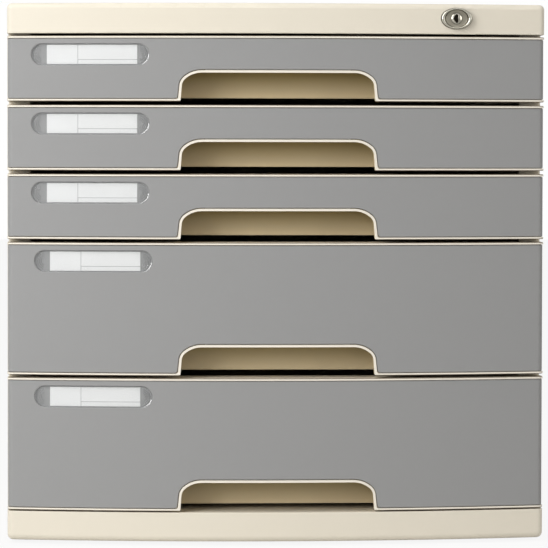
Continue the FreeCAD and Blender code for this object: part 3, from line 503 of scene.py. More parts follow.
@dataclass(frozen=True)
class FrontPath:
    """The cabinet's front seen from above: a shallow bow with a rounded corner at each end.

    A place on it is told by the way along it from the middle, and how deep it lies under the surface.
    """

    inset: float = 0.0
    half_width: float = 0.150
    rise: float = 0.0165
    nearest: float = -0.175
    corner: float = 0.0035

    @property
    def bow_radius(self) -> float:
        """Radius of the bow at this inset."""
        return (self.half_width**2 + self.rise**2) / (2 * self.rise) - self.inset

    @property
    def bow_centre(self) -> float:
        """The y of the bow's centre."""
        return self.bow_radius + self.inset + self.nearest

    @property
    def turn(self) -> Point2:
        """Centre of the right corner's rounding."""
        x = self.half_width - self.inset - self.corner
        return x, self.bow_centre - math.sqrt((self.bow_radius - self.corner) ** 2 - x**2)

    @property
    def turn_angle(self) -> float:
        """The bow's angle at which the corner starts."""
        x, y = self.turn
        return math.atan2(x, self.bow_centre - y)

    @property
    def bow_length(self) -> float:
        """Way along the bow from the middle to the corner's start."""
        return self.bow_radius * self.turn_angle

    @property
    def corner_length(self) -> float:
        """Way round one corner."""
        return self.corner * (math.pi / 2 - self.turn_angle)

    def reach(self, back: float) -> float:
        """Way along the path from the middle to the side's point at y = back."""
        return self.bow_length + self.corner_length + back - self.turn[1]

    def along(self, x: float) -> float:
        """Way along the bow to the point at x."""
        return self.bow_radius * math.asin(x / self.bow_radius)

    def point(self, way: float, deep: float) -> Point2:
        """A point of the plan.

        Args:
            way: way along the path from the middle, negative on the left.
            deep: how far the point lies under the surface.

        Returns:
            Its x and y.
        """
        side = -1.0 if way < 0 else 1.0
        way = abs(way)
        if way <= self.bow_length:
            angle = way / self.bow_radius
            radius = self.bow_radius - deep
            return side * radius * math.sin(angle), self.bow_centre - radius * math.cos(angle)
        x, y = self.turn
        rest = way - self.bow_length
        if rest <= self.corner_length:
            angle = self.turn_angle + rest / self.corner
            radius = self.corner - deep
            return side * (x + radius * math.sin(angle)), y - radius * math.cos(angle)
        return side * (x + self.corner - deep), y + rest - self.corner_length

    def cuts(self, back: float) -> list[float]:
        """Where a sheet is cut before it is bent.

        Args:
            back: the y at which its wrapped ends stop.

        Returns:
            Ways along the path, from left to right.
        """
        step, turns = 0.006, 7
        count = round(self.bow_length / step)
        right = [self.bow_length * i / count for i in range(1, count + 1)]
        right += [self.bow_length + self.corner_length * i / turns for i in range(1, turns + 1)]
        right = [way for way in right if way < self.reach(back)]
        return [-way for way in reversed(right)] + [0.0] + right


def arc_run(corners: Sequence[tuple], steps: int) -> list[Point2]:
    """A closed outline of lines and arcs as points.

    Args:
        corners: (x, y) or (x, y, radius); a radius makes an arc to the next corner, with its centre on
            the left, or on the right where the radius is negative.
        steps: pieces of each arc.

    Returns:
        The outline's points.
    """
    points: list[Point2] = []
    for corner, following in zip(corners, [*corners[1:], corners[0]]):
        start, end = Vector(corner[:2]), Vector(following[:2])
        points.append((start.x, start.y))
        if len(corner) == 2:
            continue
        radius, side = abs(corner[2]), math.copysign(1.0, corner[2])
        chord = end - start
        left = Vector((-chord.y, chord.x)).normalized()
        centre = (start + end) / 2 + left * side * math.sqrt(max(radius**2 - (chord.length / 2) ** 2, 0.0))
        first = math.atan2(start.y - centre.y, start.x - centre.x)
        sweep = (math.atan2(end.y - centre.y, end.x - centre.x) - first) % (2 * math.pi)
        if side < 0:
            sweep -= 2 * math.pi
        for i in range(1, steps):
            angle = first + sweep * i / steps
            points.append((centre.x + radius * math.cos(angle), centre.y + radius * math.sin(angle)))
    return points


def pill(x: float, z: float, half_width: float, half_height: float) -> list[Point2]:
    """A bar with round ends, counter-clockwise, its straight sides cut into strips.

    Args:
        x: its middle across.
        z: height of its middle.
        half_width: half of its width, with the ends.
        half_height: half of its height, the ends' radius.

    Returns:
        The outline's points.
    """
    steps, strips = 20, 12
    straight = half_width - half_height
    low, high = z - half_height, z + half_height
    shares = [2 * i / strips - 1 for i in range(strips)]
    below = [*((x + straight * share, low) for share in shares), (x + straight, low, half_height)]
    above = [*((x - straight * share, high) for share in shares), (x - straight, high, half_height)]
    return arc_run([*below, *above], steps)


def crescent(x: float, z: float, radius: float, width: float, facing: float) -> list[Point2]:
    """A thin curved bar on part of a circle, counter-clockwise.

    Args:
        x: the circle's middle across.
        z: height of the circle's middle.
        radius: of the bar's outer side.
        width: of the bar.
        facing: 1 for the right part of the circle, -1 for the left one.

    Returns:
        The outline's points.
    """
    spread, steps = 78.0, 16
    angles = [math.radians(spread * (2 * i / steps - 1)) for i in range(steps + 1)]
    outer, inner = (
        [(x + facing * reach * math.cos(a), z + facing * reach * math.sin(a)) for a in angles]
        for reach in (radius, radius - width)
    )
    return outer + inner[::-1]


def circle(radius: float, sides: int) -> list[Point2]:
    """A regular outline round the origin."""
    angles = [2 * math.pi * i / sides for i in range(sides)]
    return [(radius * math.cos(angle), radius * math.sin(angle)) for angle in angles]


def spaced(middle: float, half: int, step: int) -> list[float]:
    """Places from `half` millimetres before the middle to as far after it, `step` millimetres apart."""
    return [middle + place * MM for place in range(-half, half + 1, step)]


def linked(name: str, data: Any) -> bpy.types.Object:
    """A new object with its data, in the scene."""
    made = bpy.data.objects.new(name, data)
    bpy.context.scene.collection.objects.link(made)
    return made


def lifted(bm: BMesh, height: float) -> BMesh:
    """The mesh moved along Z."""
    bmesh.ops.translate(bm, verts=bm.verts, vec=(0, 0, height))
    return bm


def slice_at(bm: BMesh, place: Sequence[float], normal: Sequence[float]) -> None:
    """Cuts new edges into the mesh along a plane."""
    geometry = [*bm.verts, *bm.edges, *bm.faces]
    bmesh.ops.bisect_plane(bm, geom=geometry, dist=CUT_SLACK, plane_co=place, plane_no=normal)


def flat_plate(
    outer: Sequence[Point2],
    holes: Iterable[Sequence[Point2]],
    thickness: float,
    edge: float,
    rounds: int = 2,
) -> BMesh:
    """A flat plate with rounded edges.

    Args:
        outer: the outline in metres.
        holes: outlines cut out of it.
        thickness: from the face at z 0 down to the back.
        edge: radius of its edges.
        rounds: how finely the edges are rounded.

    Returns:
        The plate's mesh, in metres.
    """
    curve = bpy.data.curves.new("plate_outline", "CURVE")
    curve.dimensions = "2D"
    curve.fill_mode = "BOTH"
    curve.extrude = (thickness / 2 - edge) / MM
    curve.bevel_depth = edge / MM
    curve.bevel_resolution = rounds
    curve.offset = -edge / MM
    for points in (list(outer), *(list(hole)[::-1] for hole in holes)):
        spline = curve.splines.new("POLY")
        spline.points.add(len(points) - 1)
        for point, (x, y) in zip(spline.points, points):
            point.co = (x / MM, y / MM, 0.0, 1.0)
        spline.use_cyclic_u = True
    holder = linked("plate_outline", curve)
    graph = bpy.context.evaluated_depsgraph_get()
    mesh = bpy.data.meshes.new_from_object(holder.evaluated_get(graph))
    bm = bmesh.new()
    bm.from_mesh(mesh)
    bpy.data.objects.remove(holder)
    bpy.data.curves.remove(curve)
    bpy.data.meshes.remove(mesh)
    bmesh.ops.remove_doubles(bm, verts=bm.verts, dist=PLATE_WELD)
    lifted(bm, -thickness / 2 / MM)
    bmesh.ops.scale(bm, verts=bm.verts, vec=(MM, MM, MM))
    bmesh.ops.recalc_face_normals(bm, faces=bm.faces)
    return bm


def bend(bm: BMesh, path: FrontPath, cuts: Iterable[float], sink: float = 0.0) -> None:
    """Bends a flat plate along the front: its x becomes the way along it, its y the height.

    Args:
        bm: the plate, face at z 0.
        path: the front's plan.
        cuts: where it is cut into strips first.
        sink: how deep the plate's face lies under the path.
    """
    for way in cuts:
        slice_at(bm, (way, 0, 0), (1, 0, 0))
    for vert in bm.verts:
        x, y = path.point(vert.co.x, sink - vert.co.z)
        vert.co = Vector((x, y, vert.co.y))
    bmesh.ops.recalc_face_normals(bm, faces=bm.faces)


def ring_band(rings: Sequence[Sequence[Sequence[float]]]) -> BMesh:
    """A band of faces through rings of points, closed from the last ring to the first.

    Args:
        rings: each with the same number of points.

    Returns:
        The mesh.
    """
    bm = bmesh.new()
    made = [[bm.verts.new(point) for point in ring] for ring in rings]
    for outer, inner in zip(made, [*made[1:], made[0]]):
        for i in range(len(outer)):
            j = (i + 1) % len(outer)
            bm.faces.new((outer[i], outer[j], inner[j], inner[i]))
    return bm


def lathe(profile: Sequence[Point2], sides: int) -> BMesh:
    """Turns a profile round +Z.

    Args:
        profile: pairs of radius and height; radius 0 is a point on the axis.
        sides: how many sides the round has.

    Returns:
        The mesh.
    """
    bm = bmesh.new()
    rings = []
    for radius, height in profile:
        outline = circle(radius, sides) if radius else [(0.0, 0.0)]
        rings.append([bm.verts.new((x, y, height)) for x, y in outline])
    for low, high in zip(rings, rings[1:]):
        for i in range(sides):
            j = (i + 1) % sides
            around = [low[i % len(low)], low[j % len(low)], high[j % len(high)], high[i % len(high)]]
            face = list(dict.fromkeys(around))
            if len(face) > 2:
                bm.faces.new(face)
    bmesh.ops.recalc_face_normals(bm, faces=bm.faces)
    return bm


def stacked(parts: Sequence[BMesh]) -> BMesh:
    """Joins meshes.

    Args:
        parts: they are freed.

    Returns:
        All of them as one mesh.
    """
    whole = bmesh.new()
    for part in parts:
        mesh = bpy.data.meshes.new("part")
        part.to_mesh(mesh)
        part.free()
        whole.from_mesh(mesh)
        bpy.data.meshes.remove(mesh)
    return whole


def tipped(degrees: float) -> Matrix:
    """A turn about X."""
    return Matrix.Rotation(math.radians(degrees), 4, "X")


def placed(bm: BMesh, matrix: Matrix) -> BMesh:
    """The mesh moved by the matrix."""
    bmesh.ops.transform(bm, matrix=matrix, verts=bm.verts)
    return bm


@dataclass
class Piece:
    """One visible piece and what it rides on and stands for."""

    name: str
    body: str
    material: Material
    slot: str
    replaces: Sequence[str] = ()
    sharp: float = 32.0

    def put(self, bm: BMesh, origin: Vector | None = None) -> None:
        """Turns a mesh into the piece.

        Args:
            bm: the mesh in the cabinet's frame; it is freed.
            origin: the piece's own origin, or the cabinet's.
        """
        mesh = bpy.data.meshes.new(self.name)
        if origin is not None:
            bmesh.ops.translate(bm, verts=bm.verts, vec=-origin)
        bm.to_mesh(mesh)
        bm.free()
        made = linked(self.name, mesh)
        if origin is not None:
            made.location = origin
        mesh.materials.append(self.material)
        for polygon in mesh.polygons:
            polygon.use_smooth = True
        mesh.set_sharp_from_angle(angle=math.radians(self.sharp))
        weighted = made.modifiers.new("even_shading", "WEIGHTED_NORMAL")
        weighted.keep_sharp = True
        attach(made, self.body)
        if self.replaces:
            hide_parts(*self.replaces)
        LOG.info("%s: %d faces on %s", self.name, len(mesh.polygons), self.body)


def finish_node(name: str, material: Material, edge: float = 0.0) -> None:
    """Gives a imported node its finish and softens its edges.

    Args:
        name: the node.
        material: its finish.
        edge: radius of its edges, or 0 for none.
    """
    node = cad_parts[name]
    node.data.materials.clear()
    node.data.materials.append(material)
    if edge > 0:
        node.modifiers.new("joined", "WELD").merge_threshold = NODE_WELD
        bevel = node.modifiers.new("soft_edges", "BEVEL")
        bevel.width = edge
        bevel.segments = 2
        bevel.limit_method = "ANGLE"
        bevel.angle_limit = math.radians(SOFT_ANGLE)
        bevel.use_clamp_overlap = True
    node.modifiers.new("even_shading", "WEIGHTED_NORMAL").keep_sharp = True
    LOG.info("%s: packed node, edges %.2f mm", name, edge / MM)


# The cabinet


class DrawerSize(Enum):
    """The two drawer heights."""

    SHALLOW = 0.0363
    DEEP = 0.0738


# Painted shade colours for the finger hollow, by drawer size
HOLLOW_SHADE_TONES = {DrawerSize.SHALLOW: (0.43, 0.34, 0.14), DrawerSize.DEEP: (0.54, 0.44, 0.22)}


@dataclass
class LabelHolder:
    """The clear label cover in its sunk pill, and the ruled card under it."""

    number: int
    x: float
    z: float
    palette: Palette
    half_width: float = 0.0331
    half_height: float = 0.0060
    card_half_width: float = 0.02535
    card_half_height: float = 0.00535
    card_shift: float = 0.0009
    card_sink: float = 0.0015
    card_thick: float = 0.0003
    card_edge: float = 0.00006
    window_sink: float = 0.0009
    window_thick: float = 0.00045
    window_edge: float = 0.00014
    window_play: float = 0.0001
    rim_flat: float = 0.3
    ridge: float = 0.00032
    ridge_thick: float = 0.0003
    ridge_edge: float = 0.0001
    ridge_rise: float = 0.00016
    ridge_radii: Sequence[float] = (0.0044, 0.0034, 0.0024)

    def window_mesh(self) -> BMesh:
        """The clear cover."""
        path = FrontPath()
        way = path.along(self.x)
        outline = pill(way, self.z, self.half_width - self.window_play, self.half_height - self.window_play)
        bm = flat_plate(outline, [], self.window_thick, self.window_edge)
        bend(bm, path, spaced(way, 33, 6), self.window_sink)
        return bm

    def rim_mesh(self) -> BMesh:
        """The cover's dished rim and the curved finger ridges at both ends."""
        path = FrontPath()
        middle = path.along(self.x)
        # How far each ring lies inside the pill's outline, and under the front, in millimetres
        steps = [
            (0.05, 1.30), (0.05, 0.52), (0.12, 0.44), (0.20, 0.45), (0.72, 0.67), (0.80, 0.80), (0.80, 1.00),
        ]
        rings = []
        for inset, deep in steps:
            half_height = self.half_height - inset * self.rim_flat * MM
            outline = pill(middle, self.z, self.half_width - inset * MM, half_height)
            rings.append([(*path.point(way, deep * MM), z) for way, z in outline])
        parts = [ring_band(rings)]
        for facing in (-1, 1):
            end = middle + facing * (self.half_width - self.half_height)
            for radius in self.ridge_radii:
                outline = crescent(end, self.z, radius, self.ridge, facing)
                bar = flat_plate(outline, [], self.ridge_thick, self.ridge_edge)
                bend(bar, path, [], self.window_sink - self.ridge_rise)
                parts.append(bar)
        return stacked(parts)

    def card_mesh(self) -> BMesh:
        """The card, bent like the front."""
        path = FrontPath()
        way = path.along(self.x + self.card_shift)
        w, h = self.card_half_width, self.card_half_height
        outline = [(way - w, self.z - h), (way + w, self.z - h), (way + w, self.z + h), (way - w, self.z + h)]
        bm = flat_plate(outline, [], self.card_thick, self.card_edge, 1)
        bend(bm, path, spaced(way, 25, 5), self.card_sink)
        return bm

    def build(self) -> None:
        """Makes the cover and the card."""
        n, body, palette = self.number, f"drawer_{self.number}", self.palette
        window = Piece(f"label_cover_{n}", body, palette.clear, "label_clear", [f"label_window_{n}"])
        window.put(self.window_mesh())
        Piece(f"label_rim_{n}", body, palette.rim, "label_clear").put(self.rim_mesh())
        card = Piece(f"ruled_card_{n}", body, palette.card, "label_card", [f"label_card_{n}"])
        path = FrontPath()
        x, y = path.point(path.along(self.x + self.card_shift), self.card_sink)
        card.put(self.card_mesh(), Vector((x, y, self.z)))


@dataclass
class Drawer:
    """One drawer: the cream tray moulding, the grey front and its label."""

    number: int
    bottom: float
    size: DrawerSize
    label_x: float
    palette: Palette
    lip: float = 0.0012
    gap: float = 0.0003
    gap_below: float = 0.00035
    gap_notch: float = 0.0004
    recess: float = 0.0004
    thick: float = 0.00205
    edge: float = 0.0004
    back: float = -0.1482
    label_drop: float = 0.0044
    label_slope: float = -0.00005
    pocket_play: float = 0.0002
    pocket_sink: float = 0.0014
    pocket_thick: float = 0.0004
    pocket_edge: float = 0.0001

    @property
    def label_z(self) -> float:
        """Height of the label's middle."""
        return self.bottom + self.size.value - self.label_drop - LabelHolder.half_height

    def notch(self, grow: float, foot: float, flare: float) -> list[Point2]:
        """The finger notch's outline from its right foot over the top to its left foot.

        Args:
            grow: how far it is grown outward.
            foot: height of its foot above the drawer's bottom.
            flare: radius with which the sides turn outward at the foot.

        Returns:
            Points in millimetres from the middle and from the drawer's bottom.
        """
        low, side, top = 55.3 + grow, 54.7 + grow, 17.2 + grow
        wide, tall, small, bend_z = 12.4 + grow, 9.0 + grow, 7.0 + grow, 8.2
        large = ((wide - small) ** 2 + tall**2 - small**2) / (2 * (tall - small))
        stretch = small / (large - small)
        join_x = side - small + (wide - small) * stretch
        join_z = bend_z + (large - tall) * stretch
        flat = side - wide
        out, rise = low + flare, foot + flare
        corners = [
            (out, foot, -flare),
            (low, rise),
            (side, bend_z, small),
            (join_x, join_z, large),
            (flat, top),
            (-flat, top, large),
            (-join_x, join_z, small),
            (-side, bend_z),
            (-low, rise, -flare),
            (-out, foot),
        ]
        return arc_run(corners, 10)

    def front_mesh(self) -> BMesh:
        """The grey front: a bowed plate with wrapped ends, the notch and the label's sunk pill."""
        path = FrontPath(self.recess)
        low = self.bottom + self.lip + self.gap_below
        high = self.bottom + self.size.value - self.lip - self.gap
        reach = path.reach(self.back)
        notch = self.notch(self.gap_notch / MM, (self.lip + self.gap_below) / MM, 1.4)
        notch = [(path.along(x * MM), self.bottom + z * MM) for x, z in notch]
        outline = [(-reach, low), *notch[::-1], (reach, low), (reach, high), (-reach, high)]
        label = path.along(self.label_x)
        wide, tall = LabelHolder.half_width, LabelHolder.half_height
        hole = pill(label, self.label_z, wide + self.label_slope, tall + self.label_slope)
        bm = flat_plate(outline, [hole], self.thick, self.edge)
        bend(bm, path, path.cuts(self.back))
        pocket = pill(label, self.label_z, wide + self.pocket_play, tall + self.pocket_play)
        floor = flat_plate(pocket, [], self.pocket_thick, self.pocket_edge)
        bend(floor, path, spaced(label, 33, 6), self.pocket_sink)
        return stacked([bm, floor])

    def build(self) -> None:
        """Makes the drawer's visible pieces."""
        n, grey = self.number, self.palette.grey
        front = Piece(f"grey_front_{n}", f"drawer_{n}", grey, "grey_plastic", [f"drawer_front_{n}"])
        front.put(self.front_mesh())
        places = {"bottom": self.bottom, "tall": self.size.value, "deep": HOLLOW_SHADE_TONES[self.size]}
        tray = TrayPlastic(f"cream_tray_{n}", CREAM, CREAM_ROUGHNESS, **places)
        finish_node(f"drawer_tray_{n}", tray.material())
        LabelHolder(n, self.label_x, self.label_z, self.palette).build()


@dataclass
class CamLock:
    """The oval plated lock in the top band, and the works behind it."""

    palette: Palette
    x: float = 0.0996
    z: float = 0.2927
    seat: float = -0.1662
    half_width: float = 0.0088
    half_height: float = 0.00583
    rim_wide: float = 0.00283
    rim_tall: float = 0.00115
    oval_sides: int = 72
    plug_radius: float = 0.0031
    plug_play: float = 0.0001
    plug_face: float = -0.16905
    plug_end: float = -0.1454
    face_thick: float = 0.0009
    face_edge: float = 0.00018
    face_strip: float = 0.0004
    dome: float = 0.0060
    key_from: float = 0.0012
    key_deep: float = 0.0090
    square_half: float = 0.0020
    square_tall: float = 0.0026
    square_edge: float = 0.0002
    wards: int = 6
    ward_from: float = 0.0013
    ward_thick: float = 0.0012
    ward_edge: float = 0.00015
    ward_grow: float = 0.0001
    works_edge: float = 0.0002

    def bezel_mesh(self) -> BMesh:
        """The rolled oval rim."""
        rolled = [
            (0.00, 0.0), (0.00, 1.95), (0.015, 2.35), (0.06, 2.75), (0.14, 3.08), (0.25, 3.30), (0.38, 3.40),
            (0.52, 3.36), (0.66, 3.18), (0.78, 2.88), (0.88, 2.50), (0.95, 2.18), (1.00, 1.98), (1.00, 0.0),
        ]
        inner = (self.half_width - self.rim_wide, self.half_height - self.rim_tall)
        return self.oval_band((self.half_width, self.half_height), inner, rolled)

    def dish_mesh(self) -> BMesh:
        """The dish inside the rim, with the round hole for the plug."""
        dish = [
            (0.00, 1.90), (0.00, 2.10), (0.08, 2.02), (0.45, 1.90),
            (0.88, 1.94), (0.97, 1.90), (1.00, 1.80), (1.00, 0.0),
        ]
        outer = (self.half_width - self.rim_wide, self.half_height - self.rim_tall)
        hole = self.plug_radius + self.plug_play
        return self.oval_band(outer, (hole, hole), dish)

    def oval_band(self, outer: Point2, inner: Point2, profile: Sequence[Point2]) -> BMesh:
        """A closed band between two ovals.

        Args:
            outer: half width and half height of the outer oval.
            inner: half width and half height of the inner oval.
            profile: pairs of the share of the way inwards and the height over the seat in millimetres.

        Returns:
            The mesh.
        """
        rings = []
        for share, height in profile:
            wide, tall = (first + (last - first) * share for first, last in zip(outer, inner))
            y = self.seat - height * MM
            rings.append([(self.x + x * wide, y, self.z + z * tall) for x, z in circle(1.0, self.oval_sides)])
        bm = ring_band(rings)
        bmesh.ops.recalc_face_normals(bm, faces=bm.faces)
        return bm

    def keyhole(self, grow: float = 0.0) -> list[Point2]:
        """The keyway: a tall slot with a warded left side.

        Args:
            grow: how far it is grown outward.

        Returns:
            The outline's points.
        """
        shape = [
            (-0.30, -2.40), (0.55, -2.40), (0.78, -1.2), (0.62, 0.1), (0.80, 1.5), (0.50, 2.35),
            (-0.35, 2.40), (-1.20, 1.40), (-1.72, 0.40), (-1.72, -0.30), (-1.15, -1.35),
        ]
        return [(x * MM + math.copysign(grow, x), y * MM + math.copysign(grow, y)) for x, y in shape]

    def facing(self, depth: float) -> Matrix:
        """Turns a part built upwards to face the user, its top at the y given."""
        return Matrix.Translation((self.x, depth, self.z)) @ tipped(90)

    def plug_mesh(self) -> BMesh:
        """The plug: a domed face round the keyway, its body and the square end that carries the cam."""
        face = flat_plate(circle(self.plug_radius, 56), [self.keyhole()], self.face_thick, self.face_edge, 3)
        reach = int(self.plug_radius / self.face_strip)
        for step in range(-reach, reach + 1):
            for normal in ((1, 0, 0), (0, 1, 0)):
                slice_at(face, Vector(normal) * step * self.face_strip, normal)
        for vert in face.verts:
            vert.co.z -= (vert.co.x**2 + vert.co.y**2) / (2 * self.dome)
        tip = self.plug_face - self.plug_end
        radius = self.plug_radius - self.plug_play
        core = flat_plate(circle(radius, 40), [self.keyhole()], self.key_deep, self.plug_play)
        low, high = -self.key_from - self.key_deep, tip + self.square_tall - self.square_edge
        body = lathe([(0.0, low), (radius, low), (radius, high), (0.0, high)], 40)
        half = self.square_half
        corners = [(-half, -half), (half, -half), (half, half), (-half, half)]
        square = flat_plate(corners, [], self.square_tall, self.square_edge)
        parts = [face, lifted(core, -self.key_from), body, lifted(square, tip + self.square_tall)]
        return placed(stacked(parts), self.facing(self.plug_face))

    def wards_mesh(self) -> BMesh:
        """The pins and wards that fill the keyway behind the face, near black as painted shade of the deep
        keyway.
        """
        plates = []
        for i in range(self.wards):
            outline = self.keyhole(self.ward_grow - self.ward_grow / 2 * (i % 2))
            plate = flat_plate(outline, [], self.ward_thick, self.ward_edge)
            plates.append(lifted(plate, -self.ward_from - self.ward_thick * i))
        return placed(stacked(plates), self.facing(self.plug_face))

    def barrel_mesh(self) -> BMesh:
        """The threaded barrel behind the band, from sizes in millimetres."""
        turns, pitch, crest_at, root_at = 16, 1.0, 0.6, 1.1
        bore, plain, crest, root, length = 3.25, 4.3, 4.6, 4.25, 18.4
        profile = [(bore, 0.0), (plain, 0.0)]
        for turn in range(turns):
            profile += [(crest, crest_at + turn * pitch), (root, root_at + turn * pitch)]
        profile += [(plain, length), (bore, length), (bore, 0.0)]
        bm = lathe([(r * MM, h * MM) for r, h in profile], 36)
        return placed(bm, Matrix.Translation((self.x, self.seat, self.z)) @ tipped(-90))

    def build(self) -> None:
        """Makes the bezel and dresses the works."""
        bezel = Piece("lock_bezel", "case", self.palette.bezel, "lock_chrome", ["lock_housing"], 50.0)
        bezel.put(stacked([self.bezel_mesh(), self.barrel_mesh()]))
        Piece("lock_dish", "case", self.palette.dish, "lock_chrome", (), 40.0).put(self.dish_mesh())
        plug = Piece("lock_plug_face", "lock_plug", self.palette.chrome, "lock_chrome", ["lock_plug"], 40.0)
        plug.put(self.plug_mesh())
        Piece("keyway_wards", "lock_plug", self.palette.wards, "plated_steel").put(self.wards_mesh())
        for name in ("lock_nut", "lock_cam", "cam_screw", "lock_bar"):
            finish_node(name, self.palette.steel, self.works_edge)
        finish_node("bar_guides", self.palette.guide, self.works_edge)


@dataclass
class ScrewSet:
    """A group of pan-head screws with cross recesses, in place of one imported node."""

    node: str
    palette: Palette
    places: Sequence[Sequence[float]]
    turn: Matrix
    head: float = 0.0032
    tall: float = 0.0017
    crown: float = 0.0008
    crown_edge: float = 0.00022
    shank: float = 0.0013
    length: float = 0.0120
    point: float = 0.0015
    turns: int = 9

    def screw_mesh(self) -> BMesh:
        """One screw with its head's top at z 0 and its tip down."""
        ring = flat_plate(circle(self.head * 0.82, 32), [self.cross()], self.crown, self.crown_edge)
        rim = [(0.0, 0.0007), (0.80, 0.0007), (0.93, 0.00075), (1.0, 0.0011)]
        rim += [(1.0, self.tall), (0.0, self.tall)]
        skirt = [(self.head * share, -drop) for share, drop in rim]
        thread = [(0.0, -self.tall + 0.1 * MM)]
        step = (self.length - self.point) / self.turns
        for i in range(self.turns):
            crest, root = -self.tall - step * i - step * 0.3, -self.tall - step * (i + 1)
            thread += [(self.shank, crest), (self.shank * 0.8, root)]
        thread.append((0.0, -self.tall - self.length))
        return stacked([ring, lathe(skirt, 32), lathe(thread, 18)])

    def cross(self) -> list[Point2]:
        """The cross recess's outline."""
        arm, half = self.head * 0.5, 0.00035
        quarter = [(arm, -half), (arm, half), (half, half)]
        points = []
        for c, s in ((1, 0), (0, 1), (-1, 0), (0, -1)):
            points += [(c * x - s * y, s * x + c * y) for x, y in quarter]
        return points

    def build(self) -> None:
        """Makes all the screws as one piece."""
        screws = [placed(self.screw_mesh(), Matrix.Translation(place) @ self.turn) for place in self.places]
        made = Piece(self.node + "_set", "case", self.palette.steel, "plated_steel", [self.node], 40.0)
        made.put(stacked(screws))


@dataclass
class Feet:
    """Four rubber feet with ringed soles."""

    palette: Palette
    radius: float = 0.0100
    sole: float = 0.0090
    tall: float = 0.0030
    groove: float = 0.0006
    side: float = 0.122
    front: float = -0.1305
    rear: float = 0.147

    def foot_mesh(self) -> BMesh:
        """One foot standing on z 0, with grooves between the rings of its sole."""
        slope = 0.4
        profile = [(0.0, self.groove)]
        for inner, outer in ((1.6, 3.2), (5.0, 6.6)):
            profile += [((inner - slope) * MM, self.groove), (inner * MM, 0.0)]
            profile += [(outer * MM, 0.0), ((outer + slope) * MM, self.groove)]
        profile += [(7.8 * MM, self.groove), (8.1 * MM, 0.0)]
        profile += [(self.sole - 0.3 * MM, 0.0), (self.sole, 0.3 * MM)]
        profile += [(self.radius, self.tall), (0.0, self.tall)]
        return lathe(profile, 40)

    def build(self) -> None:
        """Makes the four feet as one piece."""
        places = [(x, y) for x in (-self.side, self.side) for y in (self.front, self.rear)]
        feet = [placed(self.foot_mesh(), Matrix.Translation((x, y, 0.0))) for x, y in places]
        Piece("foot_set", "case", self.palette.rubber, "foot_rubber", ["rubber_feet"]).put(stacked(feet))


@dataclass
class Case:
    """The cabinet round the drawers."""

    palette: Palette
    edge: float = 0.0004

    def build(self) -> None:
        """Dresses the case's mouldings and adds feet and screws."""
        for name in ("left_side_panel", "right_side_panel", "rear_panel"):
            finish_node(name, self.palette.cream, self.edge)
        for name in ("top_panel", "base_plate"):
            finish_node(name, self.palette.cream)
        Feet(self.palette).build()
        inset = ScrewSet.head
        low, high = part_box("rear_screws")
        across, up = (low.x + inset, high.x - inset), (low.z + inset, high.z - inset)
        rear = [(x, high.y, z) for x in across for z in up]
        ScrewSet("rear_screws", self.palette, rear, tipped(-90)).build()
        low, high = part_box("base_screws")
        across, along = (low.x + inset, high.x - inset), (low.y + inset, high.y - inset)
        base = [(x, y, low.z) for x in across for y in along]
        ScrewSet("base_screws", self.palette, base, tipped(180)).build()


# The studio


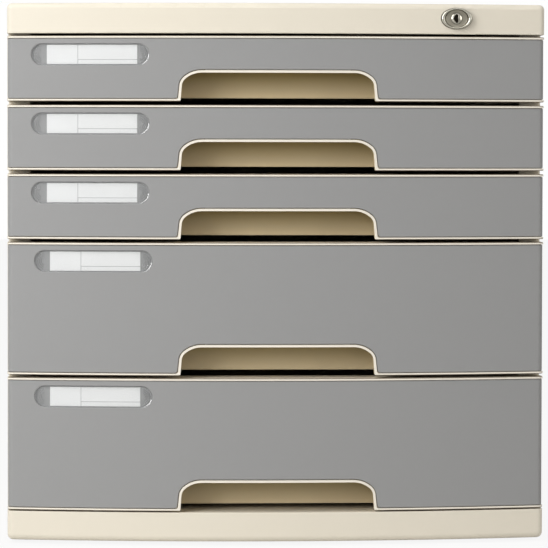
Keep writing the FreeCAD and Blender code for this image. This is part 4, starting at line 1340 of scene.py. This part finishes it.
@dataclass
class Studio:
    """Pale floor, soft lamps and the camera that took the photograph."""

    eye: Vector = field(default_factory=lambda: Vector((-0.11004, -2.17620, 0.22510)))
    yaw: float = 0.0538
    pitch: float = 0.0370
    roll: float = 0.0017
    lens: float = 237.86
    sensor: float = 36.0
    sight: float = 50.0
    ambient: float = 0.37
    sky: Colour = (1.0, 0.99, 0.97)
    aim: Vector = field(default_factory=lambda: Vector((0, 0, 0.15)))
    floor_half: float = 6.0
    floor_colour: Colour = (0.70, 0.695, 0.68)
    floor_glow: float = 0.90
    mirrored: float = 0.6

    def camera(self) -> None:
        """Sets up the camera."""
        data = bpy.data.cameras.new("camera")
        data.lens = self.lens
        data.sensor_width = self.sensor
        data.clip_end = self.sight
        made = linked("camera", data)
        level = math.cos(self.pitch)
        ahead = Vector((math.sin(self.yaw) * level, math.cos(self.yaw) * level, -math.sin(self.pitch)))
        right = ahead.cross(Vector((0, 0, 1))).normalized()
        up = right.cross(ahead)
        tilted_right = right * math.cos(self.roll) + up * math.sin(self.roll)
        tilted_up = up * math.cos(self.roll) - right * math.sin(self.roll)
        axes = Matrix((tilted_right, tilted_up, -ahead)).transposed().to_4x4()
        made.matrix_world = Matrix.Translation(self.eye) @ axes
        bpy.context.scene.camera = made

    def lamp(self, name: str, place: Sequence[float], size: Point2, power: float, colour: Colour) -> None:
        """Adds one soft lamp aimed at the cabinet.

        Args:
            name: the lamp's name.
            place: where it hangs.
            size: its width and height.
            power: in watts.
            colour: its light's colour.
        """
        data = bpy.data.lights.new(name, "AREA")
        data.shape = "RECTANGLE"
        data.size, data.size_y = size
        data.energy = power
        data.color = colour
        made = linked(name, data)
        made.location = place
        made.visible_camera = False
        made.rotation_mode = "QUATERNION"
        made.rotation_quaternion = (self.aim - Vector(place)).to_track_quat("-Z", "Y")

    def world(self) -> None:
        """Pale light all round, white where it is seen."""
        world = bpy.data.worlds.new("studio")
        bpy.context.scene.world = world
        graph = Graph(world)
        seen = graph.ray("Camera") + graph.ray("Glossy") * self.mirrored + graph.ray("Transmission")
        light = graph.shader("Background", {"Color": (*self.sky, 1.0), "Strength": self.ambient})
        white = graph.shader("Background", {"Color": (*WHITE, 1.0), "Strength": 1.0})
        mixed = graph.shader("MixShader", {0: seen, 1: light, 2: white})
        graph.node("ShaderNodeOutputWorld", None, {"Surface": mixed})

    def floor(self) -> None:
        """A pale floor that takes the cabinet's shadow."""
        bm = bmesh.new()
        bmesh.ops.create_grid(bm, x_segments=8, y_segments=8, size=self.floor_half)
        mesh = bpy.data.meshes.new("floor")
        bm.to_mesh(mesh)
        bm.free()
        made = linked("floor", mesh)
        material = bpy.data.materials.new("pale_floor")
        graph = Graph(material)
        matt = graph.shader("BsdfPrincipled", {"Base Color": (*self.floor_colour, 1.0), "Roughness": 0.8})
        glow = graph.shader("Emission", {"Color": (*WHITE, 1.0), "Strength": 1.0})
        graph.output(graph.shader("MixShader", {0: graph.ray("Camera") * self.floor_glow, 1: matt, 2: glow}))
        mesh.materials.append(material)

    def build(self) -> None:
        """Sets up the whole studio."""
        bpy.context.scene.view_settings.view_transform = "Standard"
        self.camera()
        self.world()
        self.floor()
        self.lamp("key", (-0.9, -1.0, 0.85), (0.7, 1.4), 14.3, WHITE)
        self.lamp("top", (-0.1, -0.6, 1.7), (1.6, 0.6), 6.0, WHITE)
        self.lamp("fill", (1.5, -1.4, 0.5), (0.4, 1.3), 3.6, (1.0, 0.97, 0.93))


def main() -> None:
    """Builds the cabinet and the studio."""
    logging.basicConfig(level=logging.INFO, format="%(name)s: %(message)s")
    palette = Palette()
    Case(palette).build()
    CamLock(palette).build()
    for number in range(1, 6):
        low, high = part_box(f"drawer_tray_{number}")
        left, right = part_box(f"label_window_{number}")
        size = DrawerSize(round(high.z - low.z, 4))
        label_x = round((left.x + right.x) / 2, 4)
        Drawer(number, round(low.z, 4), size, label_x, palette).build()
    Studio().build()


if __name__ == "__main__":
    main()
